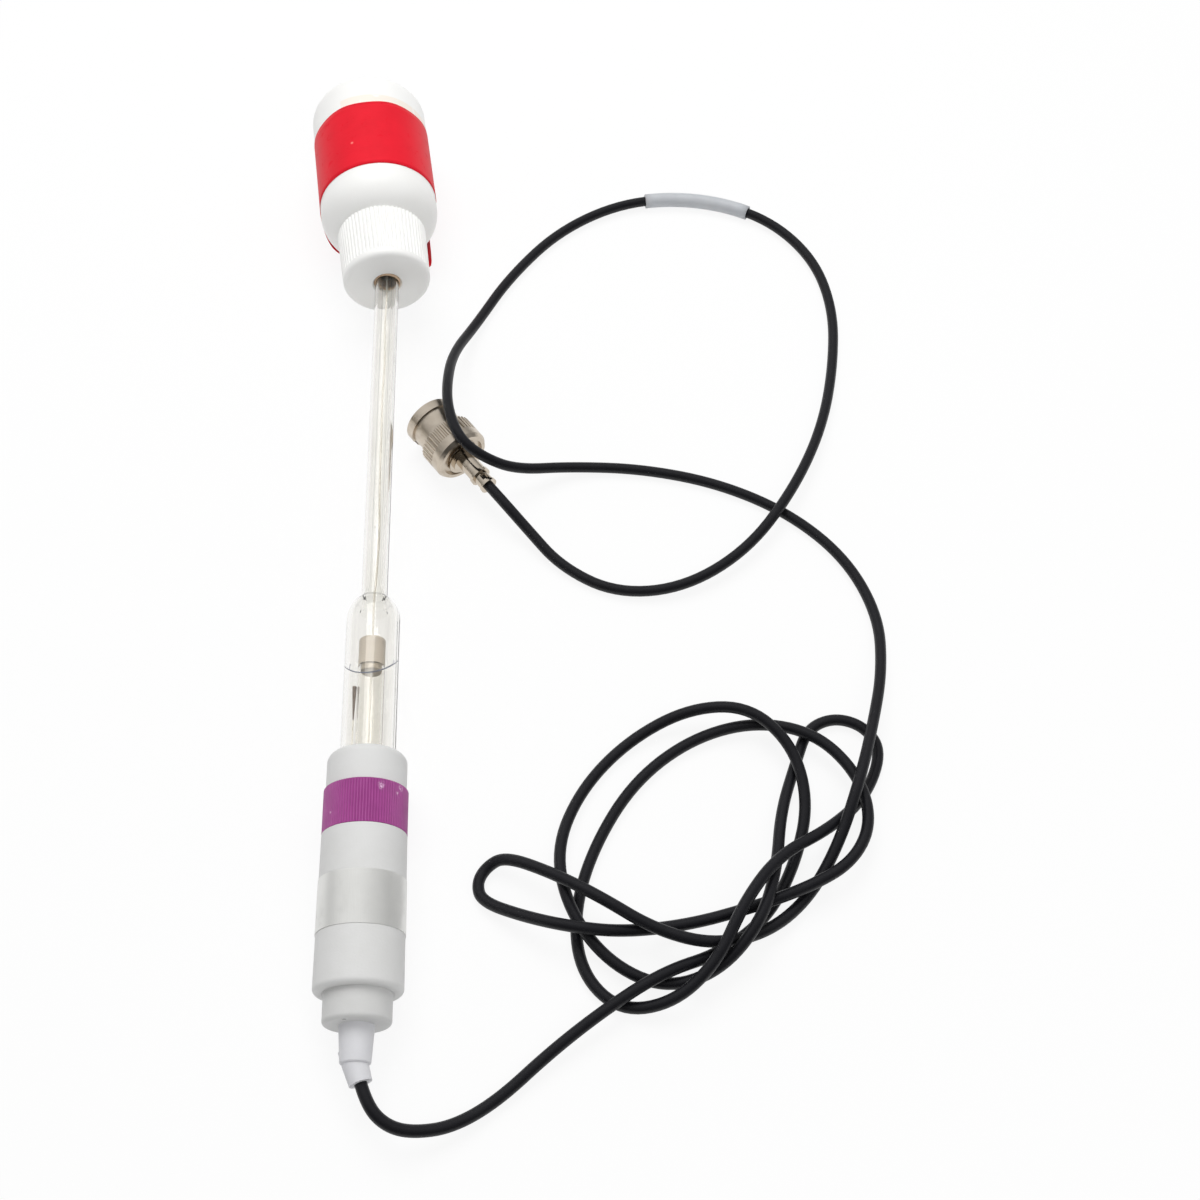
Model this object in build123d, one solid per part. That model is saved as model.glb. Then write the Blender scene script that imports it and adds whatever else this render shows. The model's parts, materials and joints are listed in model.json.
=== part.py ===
"""A combination pH electrode lying on a table with its tip in a storage bottle.

Millimetres, +Z up, the table at Z = 0, the electrode along +Y with its tip at the far end.
Stations along the electrode are counted from the barrel's rear face towards the tip, stations
along the bottle from the face of its cap, and stations along the plug from its cable end.
"""
import os
from math import asin, atan2, cos, degrees, hypot, pi, radians, sin, tan

from build123d import *

# Where the electrode lies
AXIS_X = 5.3
REAR_Y = -123.4

# Fits
GLUE_GAP = 0.05
RUNNING_FIT = 0.05
FACE_GAP = 0.15
LABEL_GLUE = 0.02
CUT_PAST = 1.0

# Head barrel
BARREL_LENGTH = 36.4
BARREL_REAR_R = 10.0
BARREL_FRONT_R = 9.75
BARREL_EDGE = 1.2
BORE_R = 8.0

# Wrap round the barrel
BAND_START = 13.0
BAND_LENGTH = 12.5
BAND_THICK = 0.12

# Fill ring and its two seals
RING_LENGTH = 10.9
RING_R = 9.75
RING_RIBS = 90
RIB_DEPTH = 0.22
PORT_R = 1.25
SPIGOT_PORT_ANGLE = 45.0
RING_PORT_TURN = 90.0
SEAL_WIRE_R = 0.38
SEAL_GROOVE = 0.8
SEAL_SPACING = 5.4

# Collar and its spigot
COLLAR_LENGTH = 9.1
COLLAR_R = 9.3
COLLAR_ROUND = 2.2
SPIGOT_INTO_BARREL = 8.4

# End plug and strain relief
BOSS_LENGTH = 6.8
BOSS_R = 7.6
BOSS_EDGE = 1.0
PLUG_DEPTH = 5.0
GATE_R = 0.5
GATE_DEPTH = 0.5
GATE_X = -2.0
BOOT_LENGTH = 8.2
BOOT_ROOT_R = 3.95
BOOT_FRONT_R = 3.4
BOOT_EDGE = 0.4
BOOT_NECK_R = 2.4
BOOT_NECK_DEPTH = 4.5
TIP_LENGTH = 4.3
TIP_ROOT_R = 2.85
TIP_END_R = 2.55
TIP_BEND = 18.0

# Outer glass
TUBE_R = 6.5
TUBE_WALL = 1.1
TUBE_LENGTH = 35.1
TUBE_SEAT_R = 6.0
TUBE_SEAT_LENGTH = 23.4
SHOULDER_LENGTH = 7.5
CROWN_DROP = 0.15
CROWN_PLACE = 0.52
WAIST_DROP = 0.5
WAIST_PLACE = 0.8
ROOT_RISE = 0.12
ROOT_PLACE = 0.93
STEM_R = 3.2
STEM_WALL = 0.7
STEM_LENGTH = 133.5
STEM_END_WALL = 1.2
FRIT_FROM_END = 6.0
FRIT_R = 0.5

# Inner glass and bulb
INNER_R = 1.7
INNER_WALL = 0.5
FUNNEL_R = 3.4
FUNNEL_LENGTH = 4.5
FLARE_LENGTH = 3.2
BULB_R = 2.9
BULB_WALL = 0.4

# Inside the wide tube
SEAL_LENGTH = 4.0
LEAD_TUBE_R = 3.2
LEAD_TUBE_WALL = 0.6
LEAD_INTO_SEAL = 3.0
LEAD_TUBE_END = 79.7
LEAD_PLUG_LENGTH = 7.3
LEAD_PLUG_SPIGOT = 1.5
WIRE_R = 0.35
WIRE_START = 20.0
REFERENCE_OFFSET = 3.9
REFERENCE_WIRE_R = 0.15
PELLET_START = 65.7
PELLET_LENGTH = 8.8
PELLET_END_R = 0.55

# Storage bottle
BOTTLE_R = 16.35
BOTTLE_WALL = 1.2
BOTTLE_KINK = 6.9
TIP_IN_BOTTLE = 34.2
NECK_R = 10.2
NECK_WALL = 1.6
NECK_CAP_GAP = 0.1
SHOULDER_END = 26.0
BOTTLE_SHOULDER_OUT = 0.68
BOTTLE_SHOULDER_PLACE = 0.34
BOTTLE_END = 67.5
BASE_ROUND = 5.0
BASE_PUSH_UP = 1.0

# Bottle label
LABEL_START = 29.6
LABEL_LENGTH = 24.4
LABEL_THICK = 0.15
LABEL_OPEN_ANGLE = 84.0

# Screw cap and grommet
CAP_FACE_R = 11.9
CAP_REAR_R = 12.3
CAP_LENGTH = 17.5
CAP_EDGE = 1.6
CAP_TOP = 1.3
CAP_THREAD_ROOM = 0.5
CAP_HOLE_R = 3.7
CAP_HOLE_CHAMFER = 0.4
CAP_RIBS = 64
CAP_RIB_DEPTH = 0.36
CAP_RIB_START = 2.2
GROMMET_R = 9.6
GROMMET_THICK = 2.0

# Cable and its marker sleeve
CABLE_R = 1.4
MARKER_R = 2.05
MARKER_GAP = 0.2
MARKER_REACH = 14.6
MARKER_CORNER_INDEX = 84
LEAD_OUT = 5.0
LEAD_IN = 5.7
BEND_SHARE = 0.45

# Bayonet plug
PLUG_X = 33.05
PLUG_Y = 12.24
PLUG_HEADING = 36.1
COUPLING_R = 6.95
COUPLING_START = 11.6
COUPLING_REAR_R = 7.0
COUPLING_BAND_R = 7.65
COUPLING_CHAMFER = 1.0
KNURL_START = 15.0
KNURL_END = 19.4
KNURL_FLUTES = 38
FLUTE_R = 0.42
NECK_OUT_R = 6.4
FLANGE_START = 25.0
COUPLING_END = 27.5
COUPLING_BORE_R = 5.0
LIP_LENGTH = 2.0
RECESS_R = 6.0
RECESS_DEPTH = 0.8
CAVITY_R = 6.1
SLOT_WIDTH = 2.1
SLOT_RUN = 6.4
SLOT_RISE = 1.6
SLOT_TURN = -110.0
DETENT_R = 1.35
LUG_GROOVE_DEPTH = 0.75
BODY_START = 10.0
BODY_R = 4.7
BODY_BOSS_R = 3.8
BODY_BOSS_LENGTH = 0.9
BODY_FLANGE_R = 5.8
BODY_FLANGE_START = 14.8
BODY_END = 18.0
BODY_GROOVE = 0.5
FERRULE_R = 2.5
FERRULE_RIM_R = 2.8
FERRULE_RIM_START = 3.6
FERRULE_RIM_LENGTH = 0.9
FERRULE_TAIL_R = 2.1
FERRULE_LIP_R = 2.35
FERRULE_LIP_LENGTH = 0.7
WINDOW_WIDTH = 1.5
WINDOW_LENGTH = 1.7
WINDOW_DEPTH = 0.45
CONTACT_R = 4.05
CONTACT_WALL = 0.5
CONTACT_END = 25.4
CONTACT_SLOT = 0.5
CONTACT_SLOT_LENGTH = 5.0
INSULATOR_STEP = 21.0
INSULATOR_END = 23.8
INSULATOR_NOSE_R = 2.3
PIN_R = 0.68
PIN_START = 13.0
PIN_END = 25.8
PIN_POINT = 0.9
GASKET_THICK = 1.1
GASKET_R = 4.9
WASHER_THICK = 0.6

# The cable's route from the strain relief to the plug, as it lies in loose loops on the table
ROUTE = [
    (12.1, -151.0, 7.4), (17.5, -152.1, 5.6), (25.8, -150.6, 3.2), (35.3, -144.9, 1.45),
    (46.8, -135.2, 3.2), (59.3, -126.4, 4.9), (72.3, -118.8, 5.8), (85.3, -113.6, 1.5),
    (96.8, -105.4, 1.45), (104.3, -92.4, 1.5), (108.5, -77.9, 3.5), (105.8, -63.9, 5.6),
    (95.8, -54.2, 7.8), (81.3, -52.9, 4.6), (66.3, -59.9, 1.45), (54.8, -72.4, 1.5),
    (48.7, -87.9, 3.3), (51.3, -103.4, 5.2), (59.8, -115.4, 3.3), (72.3, -121.4, 1.5),
    (84.8, -118.6, 4.2), (94.3, -109.4, 9.7), (99.3, -95.4, 6.2), (101.8, -79.9, 2.7),
    (106.8, -66.4, 1.45), (110.2, -57.8, 1.5), (117.2, -54.8, 1.45), (124.4, -57.6, 1.5),
    (127.7, -64.6, 1.45), (122.3, -76.4, 1.5), (112.3, -85.6, 4.8), (99.8, -93.4, 9.6),
    (90.8, -104.9, 11.1), (84.3, -117.4, 7.9), (74.3, -125.6, 4.7), (62.3, -126.2, 1.45),
    (53.9, -117.4, 1.5), (52.5, -103.4, 1.45), (57.3, -87.4, 1.5), (67.3, -70.9, 1.45),
    (81.3, -59.9, 1.5), (96.8, -56.2, 3.2), (111.3, -60.4, 5.0), (120.5, -71.4, 5.1),
    (122.6, -83.9, 5.4), (117.3, -93.9, 5.7), (106.8, -99.9, 6.0), (93.3, -103.8, 4.0),
    (78.8, -107.0, 2.7), (63.8, -109.4, 5.7), (51.5, -108.8, 8.7), (40.8, -104.6, 5.0),
    (31.5, -99.6, 1.45), (30.3, -95.1, 1.5), (32.6, -91.1, 1.45), (37.0, -89.8, 4.2),
    (47.3, -95.0, 7.0), (58.3, -102.2, 9.8), (70.3, -109.6, 7.8), (83.3, -113.0, 5.7),
    (96.3, -109.8, 3.6), (106.8, -100.9, 1.45), (114.3, -89.4, 5.3), (120.1, -75.4, 9.3),
    (125.3, -59.9, 6.6), (129.8, -43.9, 4.0), (131.3, -26.4, 1.45), (124.8, -8.9, 1.5),
    (111.3, 5.6, 1.45), (93.3, 15.6, 1.5), (73.3, 20.9, 1.45), (54.3, 21.8, 2.0),
    (40.2, 17.1, 7.8), (31.8, 17.0, 13.9), (26.0, 20.5, 17.35), (22.9, 29.3, 17.7),
    (22.1, 40.7, 15.0), (23.1, 56.2, 8.7), (28.8, 71.6, 2.0), (38.3, 89.6, 1.45),
    (53.3, 107.6, 1.5), (73.3, 117.9, 2.1), (94.8, 118.1, 2.15), (113.8, 110.1, 2.1),
    (126.3, 94.6, 1.5), (130.3, 74.6, 1.45), (127.8, 52.6, 1.5), (122.3, 31.1, 3.3),
    (112.8, 10.6, 5.1), (99.8, -6.9, 3.9), (82.8, -17.4, 2.7), (65.3, -17.9, 1.45),
    (51.3, -9.4, 1.5), (42.5, 1.2, 4.2),
]

# Stations that follow from the sizes above
RING_START = BARREL_LENGTH
COLLAR_START = RING_START + RING_LENGTH
COLLAR_END = COLLAR_START + COLLAR_LENGTH
PORT_STATION = RING_START + RING_LENGTH / 2
SPIGOT_R = BORE_R - RUNNING_FIT
GLASS_START = COLLAR_END - TUBE_SEAT_LENGTH
SHOULDER_START = COLLAR_END + TUBE_LENGTH
STEM_START = SHOULDER_START + SHOULDER_LENGTH
STEM_END = STEM_START + STEM_LENGTH
BULB_CENTRE = STEM_END + (BULB_R**2 - INNER_R**2)**0.5
CAP_STATION = STEM_END - TIP_IN_BOTTLE
BOOT_END = BOSS_LENGTH + BOOT_LENGTH
SEAL_START = GLASS_START - SEAL_LENGTH
LEAD_START = GLASS_START - LEAD_INTO_SEAL
GROMMET_START = CAP_TOP + FACE_GAP
NECK_START = GROMMET_START + GROMMET_THICK + FACE_GAP
NECK_LENGTH = CAP_LENGTH + NECK_CAP_GAP - NECK_START
NECK_END = NECK_START + NECK_LENGTH
CAP_BORE_R = NECK_R + CAP_THREAD_ROOM

# How the electrode rests: on the rounded rim of the barrel and, through the cap, on the bottle
REST_SPAN = CAP_STATION - BARREL_EDGE
RIM_CENTRE_R = BARREL_REAR_R - BARREL_EDGE
RISE = BOTTLE_R - BARREL_EDGE
TILT = asin(RISE / hypot(REST_SPAN, RIM_CENTRE_R)) - atan2(RIM_CENTRE_R, REST_SPAN)
AXIS_DIR = Vector(0, cos(TILT), sin(TILT))
REAR_Z = RIM_CENTRE_R * cos(TILT) + BARREL_EDGE - BARREL_EDGE * sin(TILT)
KINK = radians(BOTTLE_KINK)
HEADING = radians(PLUG_HEADING)

electrode_frame = Plane(origin=(AXIS_X, REAR_Y, REAR_Z), x_dir=(1, 0, 0), z_dir=AXIS_DIR)
cap_centre = electrode_frame.from_local_coords(Vector(0, 0, CAP_STATION))
bottle_frame = Plane(
    origin=cap_centre, x_dir=(cos(KINK), sin(KINK), 0), z_dir=(-sin(KINK), cos(KINK), 0))
plug_frame = Plane(
    origin=(PLUG_X, PLUG_Y, COUPLING_BAND_R),
    x_dir=(cos(HEADING), sin(HEADING), 0), z_dir=(-sin(HEADING), cos(HEADING), 0))


def turned(*outline):
    """A solid turned about the axis from (radius, station) corners."""
    corners = [(radius, 0, station) for radius, station in outline]
    return revolve(make_face(Polyline(*corners, close=True)), Axis.Z)


def rod(radius, start, end, hole=0.0):
    """A round bar along the axis between two stations, with a hole if one is given."""
    return turned((hole, start), (radius, start), (radius, end), (hole, end))


def rims(part, radius, station):
    """The circular edges of a turned part with a radius, at a station."""
    near = 0.001
    circles = part.edges().filter_by(GeomType.CIRCLE)
    return [edge for edge in circles
            if abs(edge.radius - radius) < near and abs(edge.arc_center.Z - station) < near]


def ribbed_rod(radius, start, end, ribs, depth):
    """A round bar with V-grooves that leave straight ribs along its side."""
    groove = RegularPolygon(depth, 4)
    section = Circle(radius) - [place * groove for place in PolarLocations(radius, ribs)]
    return Pos(0, 0, start) * extrude(section, end - start)


def radial_hole(radius, station, angle, reach):
    """A cutter that runs straight out from the axis at a station and an angle."""
    outward = Rot(0, 0, angle) * Pos(0, 0, station) * Rot(0, 90, 0)
    return outward * Pos(0, 0, reach / 2) * Cylinder(radius, reach)


def barrel_radius(station):
    """The barrel's outer radius, which tapers from its rear to its front."""
    return BARREL_REAR_R + (BARREL_FRONT_R - BARREL_REAR_R) * station / BARREL_LENGTH


def make_head_barrel():
    shell = turned((BORE_R, 0), (BARREL_REAR_R, 0), (BARREL_FRONT_R, BARREL_LENGTH), (BORE_R, BARREL_LENGTH))
    return fillet(rims(shell, BARREL_REAR_R, 0), BARREL_EDGE)


def make_label_band():
    band_end = BAND_START + BAND_LENGTH
    inner_start = barrel_radius(BAND_START) + LABEL_GLUE
    inner_end = barrel_radius(band_end) + LABEL_GLUE
    return turned((inner_start, BAND_START), (inner_start + BAND_THICK, BAND_START),
                  (inner_end + BAND_THICK, band_end), (inner_end, band_end))


def make_fill_ring():
    body = ribbed_rod(RING_R, RING_START + FACE_GAP, COLLAR_START - FACE_GAP, RING_RIBS, RIB_DEPTH)
    port = radial_hole(PORT_R, PORT_STATION, SPIGOT_PORT_ANGLE + RING_PORT_TURN, RING_R + CUT_PAST)
    return body - rod(BORE_R, RING_START, COLLAR_START) - port


def seal_stations():
    """Stations of the two O-rings, one each side of the fill port."""
    return PORT_STATION - SEAL_SPACING / 2, PORT_STATION + SEAL_SPACING / 2


def make_seal(station):
    centre_r = SPIGOT_R - SEAL_GROOVE + SEAL_WIRE_R + LABEL_GLUE
    return Pos(0, 0, station) * Torus(centre_r, SEAL_WIRE_R)


def make_head_collar():
    bore = TUBE_SEAT_R + GLUE_GAP
    spigot_start = BARREL_LENGTH - SPIGOT_INTO_BARREL
    collar = turned((bore, spigot_start), (SPIGOT_R, spigot_start), (SPIGOT_R, COLLAR_START),
                    (COLLAR_R, COLLAR_START), (COLLAR_R, COLLAR_END), (bore, COLLAR_END))
    collar = fillet(rims(collar, COLLAR_R, COLLAR_END), COLLAR_ROUND)
    groove_half = SEAL_WIRE_R + GLUE_GAP
    groove_floor = SPIGOT_R - SEAL_GROOVE
    for station in seal_stations():
        collar -= rod(SPIGOT_R + CUT_PAST, station - groove_half, station + groove_half, groove_floor)
    return collar - radial_hole(PORT_R, PORT_STATION, SPIGOT_PORT_ANGLE, SPIGOT_R + CUT_PAST)


def make_end_plug():
    spigot_r = BORE_R - GLUE_GAP
    bore = BOOT_NECK_R + GLUE_GAP
    plug = turned((bore, -BOSS_LENGTH), (BOSS_R, -BOSS_LENGTH), (BOSS_R, 0),
                  (spigot_r, 0), (spigot_r, PLUG_DEPTH), (bore, PLUG_DEPTH))
    plug = fillet(rims(plug, BOSS_R, -BOSS_LENGTH), BOSS_EDGE)
    gate_y = -(BOSS_R - BOSS_EDGE - 2 * GATE_R)
    return plug - Pos(GATE_X, gate_y, -BOSS_LENGTH) * Cylinder(GATE_R, 2 * GATE_DEPTH)


def boot_tip_frame():
    """The frame of the strain relief's bent end, with its axis pointing out along the cable."""
    bend = radians(TIP_BEND)
    return Plane(origin=(0, 0, -BOOT_END), x_dir=(cos(bend), 0, sin(bend)), z_dir=(sin(bend), 0, -cos(bend)))


def make_strain_relief():
    cone = turned((0, -BOSS_LENGTH), (BOOT_ROOT_R, -BOSS_LENGTH), (BOOT_FRONT_R, -BOOT_END), (0, -BOOT_END))
    cone = fillet(rims(cone, BOOT_FRONT_R, -BOOT_END), BOOT_EDGE)
    neck = rod(BOOT_NECK_R, -BOSS_LENGTH, -BOSS_LENGTH + BOOT_NECK_DEPTH)
    tip = turned((0, -BOOT_FRONT_R), (TIP_ROOT_R, -BOOT_FRONT_R), (TIP_ROOT_R, 0),
                 (TIP_END_R, TIP_LENGTH), (0, TIP_LENGTH))
    return cone + neck + boot_tip_frame() * tip


def glass_solid(tube_inset, stem_inset, start, end):
    """The outer glass as a full solid from a station of its tube, set in from its outer surface."""
    tube_r = TUBE_R - tube_inset
    stem_r = STEM_R - stem_inset
    drop = tube_r - stem_r
    crown = (tube_r - CROWN_DROP * drop, 0, SHOULDER_START + CROWN_PLACE * SHOULDER_LENGTH)
    waist = (tube_r - WAIST_DROP * drop, 0, SHOULDER_START + WAIST_PLACE * SHOULDER_LENGTH)
    root = (stem_r + ROOT_RISE * drop, 0, SHOULDER_START + ROOT_PLACE * SHOULDER_LENGTH)
    tube = Polyline((0, 0, start), (tube_r, 0, start), (tube_r, 0, SHOULDER_START))
    shoulder = ThreePointArc(tube @ 1, crown, waist)
    fillet_arc = ThreePointArc(waist, root, (stem_r, 0, STEM_START))
    stem = Polyline((stem_r, 0, STEM_START), (stem_r, 0, end), (0, 0, end), (0, 0, start))
    return revolve(make_face(tube + shoulder + fillet_arc + stem), Axis.Z)


def make_glass_body():
    outer = glass_solid(0, 0, COLLAR_END, STEM_END) + rod(TUBE_SEAT_R, GLASS_START, COLLAR_END)
    inner = glass_solid(TUBE_WALL, STEM_WALL, GLASS_START, STEM_END - STEM_END_WALL)
    glass = outer - inner - rod(INNER_R + GLUE_GAP, STEM_END - 2 * STEM_END_WALL, STEM_END + CUT_PAST)
    glass = fillet(rims(glass, STEM_R, STEM_END), STEM_WALL)
    port = radial_hole(PORT_R, PORT_STATION, SPIGOT_PORT_ANGLE, TUBE_R + CUT_PAST)
    frit_hole = radial_hole(FRIT_R, STEM_END - FRIT_FROM_END, SPIGOT_PORT_ANGLE, STEM_R + CUT_PAST)
    return glass - port - frit_hole


def make_junction_frit():
    station = STEM_END - FRIT_FROM_END
    pin = radial_hole(FRIT_R - LABEL_GLUE, station, SPIGOT_PORT_ANGLE, STEM_R)
    return pin - rod(STEM_R - STEM_WALL, station - 2 * FRIT_R, station + 2 * FRIT_R)


def make_inner_tube():
    bore = INNER_R - INNER_WALL
    seat_r = STEM_R - STEM_WALL - GLUE_GAP
    mouth = STEM_START - FUNNEL_LENGTH
    flare_end = STEM_START + FLARE_LENGTH
    tube = turned((FUNNEL_R - INNER_WALL, mouth), (FUNNEL_R, mouth), (seat_r, STEM_START),
                  (seat_r, STEM_START + INNER_WALL), (INNER_R, flare_end), (INNER_R, BULB_CENTRE),
                  (bore, BULB_CENTRE), (bore, flare_end), (seat_r - INNER_WALL, STEM_START))
    bulb = Pos(0, 0, BULB_CENTRE) * Sphere(BULB_R)
    hollow = Pos(0, 0, BULB_CENTRE) * Sphere(BULB_R - BULB_WALL)
    return tube + bulb - hollow - rod(bore, STEM_END - CUT_PAST, BULB_CENTRE)


def make_silver_wire():
    return rod(WIRE_R, WIRE_START, BULB_CENTRE)


def make_lead_tube():
    return rod(LEAD_TUBE_R, LEAD_START, LEAD_TUBE_END, LEAD_TUBE_R - LEAD_TUBE_WALL)


def make_lead_plug():
    hole = WIRE_R + GLUE_GAP
    spigot_r = LEAD_TUBE_R - LEAD_TUBE_WALL - GLUE_GAP
    top = LEAD_TUBE_END + LEAD_PLUG_LENGTH
    plug = turned((hole, LEAD_TUBE_END - LEAD_PLUG_SPIGOT), (spigot_r, LEAD_TUBE_END - LEAD_PLUG_SPIGOT),
                  (spigot_r, LEAD_TUBE_END), (LEAD_TUBE_R, LEAD_TUBE_END), (LEAD_TUBE_R, top), (hole, top))
    return fillet(rims(plug, LEAD_TUBE_R, top), LEAD_TUBE_WALL)


def make_reference_wire():
    pellet_end = PELLET_START + PELLET_LENGTH
    wire = turned((0, LEAD_START), (REFERENCE_WIRE_R, LEAD_START), (REFERENCE_WIRE_R, PELLET_START),
                  (PELLET_END_R, pellet_end), (0, pellet_end))
    return Pos(-REFERENCE_OFFSET, 0, 0) * wire


def make_potting_seal():
    seal = rod(TUBE_SEAT_R, SEAL_START, GLASS_START, LEAD_TUBE_R + GLUE_GAP)
    wire_hole = rod(REFERENCE_WIRE_R + LABEL_GLUE, SEAL_START, GLASS_START)
    return seal - Pos(-REFERENCE_OFFSET, 0, 0) * wire_hole


def bottle_solid(inset, start, neck_r):
    """The bottle as a full solid of revolution from a station of its neck, set in by the wall."""
    radius = BOTTLE_R - inset
    end = BOTTLE_END - inset
    neck = Polyline((0, 0, start), (neck_r, 0, start), (neck_r, 0, NECK_END))
    width = radius - neck_r
    height = SHOULDER_END - NECK_END
    shoulder = ThreePointArc(
        (neck_r, 0, NECK_END),
        (neck_r + BOTTLE_SHOULDER_OUT * width, 0, NECK_END + BOTTLE_SHOULDER_PLACE * height),
        (radius, 0, SHOULDER_END))
    body = Polyline((radius, 0, SHOULDER_END), (radius, 0, end), (0, 0, end - BASE_PUSH_UP), (0, 0, start))
    solid = revolve(make_face(neck + shoulder + body), Axis.Z)
    return fillet(rims(solid, radius, end), BASE_ROUND - inset)


def make_soaker_bottle():
    inner = bottle_solid(BOTTLE_WALL, NECK_START - CUT_PAST, NECK_R - NECK_WALL)
    return bottle_solid(0, NECK_START, NECK_R) - inner


def make_bottle_label():
    inner = BOTTLE_R + LABEL_GLUE
    sleeve = rod(inner + LABEL_THICK, LABEL_START, LABEL_START + LABEL_LENGTH, inner)
    reach = 2 * BOTTLE_R
    half = radians(LABEL_OPEN_ANGLE / 2)
    wedge = Polyline((0, 0), (-reach * tan(half), reach), (reach * tan(half), reach), close=True)
    return sleeve - Pos(0, 0, LABEL_START) * extrude(make_face(wedge), LABEL_LENGTH)


def make_soaker_cap():
    body = turned((0, 0), (CAP_FACE_R, 0), (CAP_REAR_R, CAP_LENGTH), (0, CAP_LENGTH))
    body = fillet(rims(body, CAP_FACE_R, 0), CAP_EDGE)
    taper = (CAP_REAR_R - CAP_FACE_R) / CAP_LENGTH
    groove = Rot(0, degrees(atan2(taper, 1)), 0) * extrude(RegularPolygon(CAP_RIB_DEPTH, 4), CAP_LENGTH)
    places = PolarLocations(CAP_FACE_R + taper * CAP_RIB_START, CAP_RIBS)
    body -= [place * Pos(0, 0, CAP_RIB_START) * groove for place in places]
    hole = turned((0, 0), (CAP_HOLE_R + CAP_HOLE_CHAMFER, 0), (CAP_HOLE_R, CAP_HOLE_CHAMFER),
                  (CAP_HOLE_R, CAP_TOP), (0, CAP_TOP))
    return body - rod(CAP_BORE_R, CAP_TOP, CAP_LENGTH) - hole


def make_soaker_grommet():
    """The rubber disc under the cap, with its bore along the stem and not along the bottle."""
    disc = bottle_frame * rod(GROMMET_R, GROMMET_START, GROMMET_START + GROMMET_THICK)
    reach = GROMMET_R
    stem = rod(STEM_R + RUNNING_FIT, CAP_STATION - reach, CAP_STATION + reach)
    return disc - electrode_frame * stem


def make_bnc_ferrule():
    rim_end = FERRULE_RIM_START + FERRULE_RIM_LENGTH
    ferrule = turned((0, 0), (FERRULE_LIP_R, 0), (FERRULE_LIP_R, FERRULE_LIP_LENGTH),
                     (FERRULE_TAIL_R, FERRULE_LIP_LENGTH), (FERRULE_TAIL_R, FERRULE_RIM_START),
                     (FERRULE_RIM_R, FERRULE_RIM_START), (FERRULE_RIM_R, rim_end),
                     (FERRULE_R, rim_end), (FERRULE_R, BODY_START), (0, BODY_START))
    window_station = (FERRULE_LIP_LENGTH + FERRULE_RIM_START) / 2
    window = Pos(0, -FERRULE_TAIL_R, window_station) * Box(WINDOW_WIDTH, 2 * WINDOW_DEPTH, WINDOW_LENGTH)
    return ferrule - window


def make_bnc_body():
    hole = PIN_R + GLUE_GAP
    boss_end = BODY_START + BODY_BOSS_LENGTH
    groove_start = boss_end + BODY_GROOVE
    return turned((0, BODY_START), (BODY_BOSS_R, BODY_START), (BODY_BOSS_R, boss_end),
                  (BODY_R, boss_end), (BODY_R, groove_start),
                  (BODY_R - BODY_GROOVE, groove_start), (BODY_R - BODY_GROOVE, groove_start + BODY_GROOVE),
                  (BODY_R, groove_start + BODY_GROOVE), (BODY_R, BODY_FLANGE_START),
                  (BODY_FLANGE_R, BODY_FLANGE_START), (BODY_FLANGE_R, BODY_END),
                  (hole, BODY_END), (hole, PIN_START), (0, PIN_START))


def make_bnc_ring():
    lip_end = COUPLING_START + LIP_LENGTH
    cavity_end = BODY_END + GASKET_THICK
    lip_bore = BODY_R + RUNNING_FIT
    recess_end = COUPLING_START + RECESS_DEPTH
    ring = turned((lip_bore, recess_end), (RECESS_R, recess_end), (RECESS_R, COUPLING_START),
                  (COUPLING_REAR_R, COUPLING_START),
                  (COUPLING_BAND_R, COUPLING_START + COUPLING_CHAMFER), (COUPLING_BAND_R, KNURL_END),
                  (NECK_OUT_R, KNURL_END), (NECK_OUT_R, FLANGE_START), (COUPLING_R, FLANGE_START),
                  (COUPLING_R, COUPLING_END), (COUPLING_BORE_R, COUPLING_END), (COUPLING_BORE_R, cavity_end),
                  (CAVITY_R, cavity_end), (CAVITY_R, lip_end), (lip_bore, lip_end))
    flute = Pos(0, 0, KNURL_START) * extrude(Circle(FLUTE_R), KNURL_END - KNURL_START)
    ring -= [place * flute for place in PolarLocations(COUPLING_BAND_R, KNURL_FLUTES)]
    slot_station = (KNURL_END + FLANGE_START) / 2
    slant = degrees(atan2(SLOT_RISE, SLOT_RUN))
    detent = Pos(-SLOT_RUN / 2, 0) * Circle(DETENT_R)
    slot = extrude(Rot(0, 0, slant) * (SlotCenterToCenter(SLOT_RUN, SLOT_WIDTH) + detent), COUPLING_R)
    groove_r = COUPLING_BORE_R + LUG_GROOVE_DEPTH
    groove_length = COUPLING_END - slot_station
    groove = Pos(groove_r / 2, 0, slot_station + groove_length / 2) * Box(groove_r, SLOT_WIDTH, groove_length)
    for place in PolarLocations(0, 2, SLOT_TURN):
        ring -= place * Pos(0, 0, slot_station) * Rot(90, 0, 90) * slot
        ring -= place * Rot(0, 0, degrees(SLOT_RUN / 2 / NECK_OUT_R)) * groove
    return ring


def make_bnc_contact():
    sleeve = rod(CONTACT_R, BODY_END, CONTACT_END, CONTACT_R - CONTACT_WALL)
    slot = Pos(CONTACT_R, 0, CONTACT_END - CONTACT_SLOT_LENGTH / 2) * Box(
        CONTACT_R, CONTACT_SLOT, CONTACT_SLOT_LENGTH)
    return sleeve - [place * slot for place in PolarLocations(0, 4)]


def make_bnc_insulator():
    hole = PIN_R + GLUE_GAP
    base_r = CONTACT_R - CONTACT_WALL - GLUE_GAP
    return turned((hole, BODY_END), (base_r, BODY_END), (base_r, INSULATOR_STEP),
                  (INSULATOR_NOSE_R, INSULATOR_STEP), (INSULATOR_NOSE_R, INSULATOR_END),
                  (hole, INSULATOR_END))


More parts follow.
